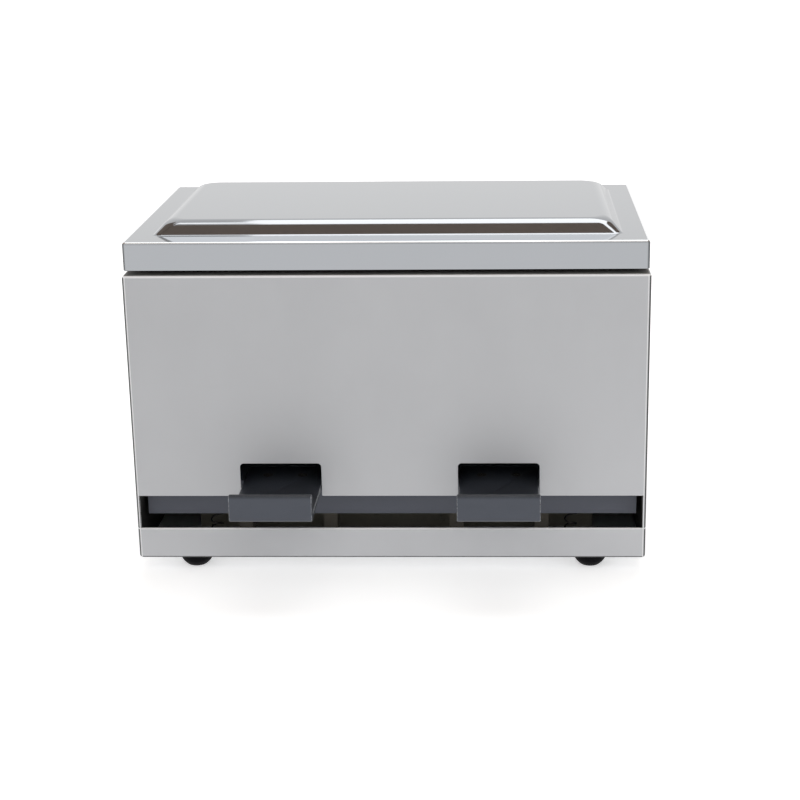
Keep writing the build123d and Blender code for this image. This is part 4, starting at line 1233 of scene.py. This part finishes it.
def floor_finish(base, glow, mirrored, behind):
    """Pale floor that goes white for the camera, keeps the shadow, and is evenly bright in mirrors.

    What mirrors show of it goes from mirrored to behind between the two depths of FLOOR_FADE.
    """
    material, tree, shader = matt_material("studio_floor", base)
    path = add_node(tree, "ShaderNodeLightPath").outputs
    seen = times(tree, path["Is Camera Ray"], glow)
    lit = made(tree, "ShaderNodeAddShader", {0: shader.outputs[0], 1: white_light(tree, seen)})
    in_mirror = maths(tree, "MAXIMUM", path["Is Glossy Ray"], path["Is Transmission Ray"])
    towards_back = axes(tree, add_node(tree, "ShaderNodeTexCoord").outputs["Object"])["Y"]
    shown = ranged(tree, towards_back, *FLOOR_FADE, mirrored, behind)
    both = made(tree, "ShaderNodeMixShader", {0: in_mirror, 1: lit, 2: white_light(tree, shown)})
    tree.links.new(both, tree.nodes["Material Output"].inputs["Surface"])
    return material


def studio_camera(focal_length):
    lens = bpy.data.cameras.new("studio_camera")
    lens.lens = focal_length
    lens.shift_x, lens.shift_y = CAMERA_SHIFT
    lens.clip_start, lens.clip_end = CAMERA_REACH
    camera = link_object("studio_camera", lens)
    aim = Euler((math.pi / 2 - CAMERA_DOWN, 0.0, CAMERA_TURN)).to_matrix()
    roll = Matrix.Rotation(CAMERA_ROLL, 3, "Z")
    camera.matrix_world = Matrix.Translation(CAMERA_PLACE) @ (aim @ roll).to_4x4()
    return camera


def white_surround(strength):
    world = bpy.data.worlds.new("studio_surround")
    world.use_nodes = True
    background = world.node_tree.nodes["Background"]
    background.inputs["Color"].default_value = WHITE
    background.inputs["Strength"].default_value = strength
    return world


class DISPENSER_OT_studio(Operator):
    """Set up the camera, the floor, the white surround, two soft lamps and the brown cards"""

    bl_idname = "dispenser.studio"
    bl_label = "Studio"

    def execute(self, context):
        studio = context.scene.dispenser_studio
        context.scene.camera = studio_camera(studio.focal_length)
        context.scene.world = white_surround(studio.sky)
        context.scene.view_settings.view_transform = "Standard"
        floor = flat_sheet("studio_floor", LEVEL, LEVEL, FLOOR_SIZE)
        floor.materials.append(floor_finish(
            studio.floor_colour, studio.floor_glow, studio.floor_mirrored, studio.floor_behind
        ))
        link_object("studio_floor", floor)
        area_lamp("rear_softbox", studio.lamp_power, **SOFTBOX)
        area_lamp("left_strip", studio.strip_power, **STRIP)
        tone = studio.flag_colour
        card("front_flag", tone, **FRONT_FLAG)
        card("left_flag", tone, **LEFT_FLAG)
        for name, side in (("side_flag_left", -1), ("side_flag_right", 1)):
            place = (side * SIDE_FLAG_PLACE[0], *SIDE_FLAG_PLACE[1:])
            card(name, tone, place, (0.0, side * SIDE_FLAG_LEAN, 0.0), SIDE_FLAG_SIZE)
        return {"FINISHED"}


# ---- Sidebar, registration and run ----
SETTINGS = {
    "dispenser_steel": DispenserSteel,
    "dispenser_lid": DispenserLid,
    "dispenser_plastic": DispenserPlastic,
    "dispenser_levers": DispenserLevers,
    "dispenser_springs": DispenserSprings,
    "dispenser_fasteners": DispenserFasteners,
    "dispenser_feet": DispenserFeet,
    "dispenser_studio": DispenserStudio,
}
OPERATORS = (
    DISPENSER_OT_steel_body, DISPENSER_OT_lid, DISPENSER_OT_levers, DISPENSER_OT_shelf,
    DISPENSER_OT_pivot, DISPENSER_OT_springs, DISPENSER_OT_feet, DISPENSER_OT_hinge,
    DISPENSER_OT_studio,
)


class DISPENSER_PT_sidebar(Panel):
    """Sizes, colours and build steps of the dispenser"""

    bl_label = "Chopstick Dispenser"
    bl_space_type = "VIEW_3D"
    bl_region_type = "UI"
    bl_category = "Dispenser"

    def draw(self, context):
        layout = self.layout
        for name, group in SETTINGS.items():
            column = layout.box().column(align=True)
            settings = getattr(context.scene, name)
            for field in group.__annotations__:
                column.prop(settings, field)
        for step in OPERATORS:
            layout.operator(step.bl_idname)


def register():
    for group in SETTINGS.values():
        bpy.utils.register_class(group)
    for step in OPERATORS:
        bpy.utils.register_class(step)
    bpy.utils.register_class(DISPENSER_PT_sidebar)
    for name, group in SETTINGS.items():
        setattr(bpy.types.Scene, name, PointerProperty(type=group))


def unregister():
    for name in SETTINGS:
        delattr(bpy.types.Scene, name)
    bpy.utils.unregister_class(DISPENSER_PT_sidebar)
    for step in reversed(OPERATORS):
        bpy.utils.unregister_class(step)
    for group in SETTINGS.values():
        bpy.utils.unregister_class(group)


def main():
    register()
    for step in OPERATORS:
        category, name = step.bl_idname.split(".")
        getattr(getattr(bpy.ops, category), name)()


if __name__ == "__main__":
    main()
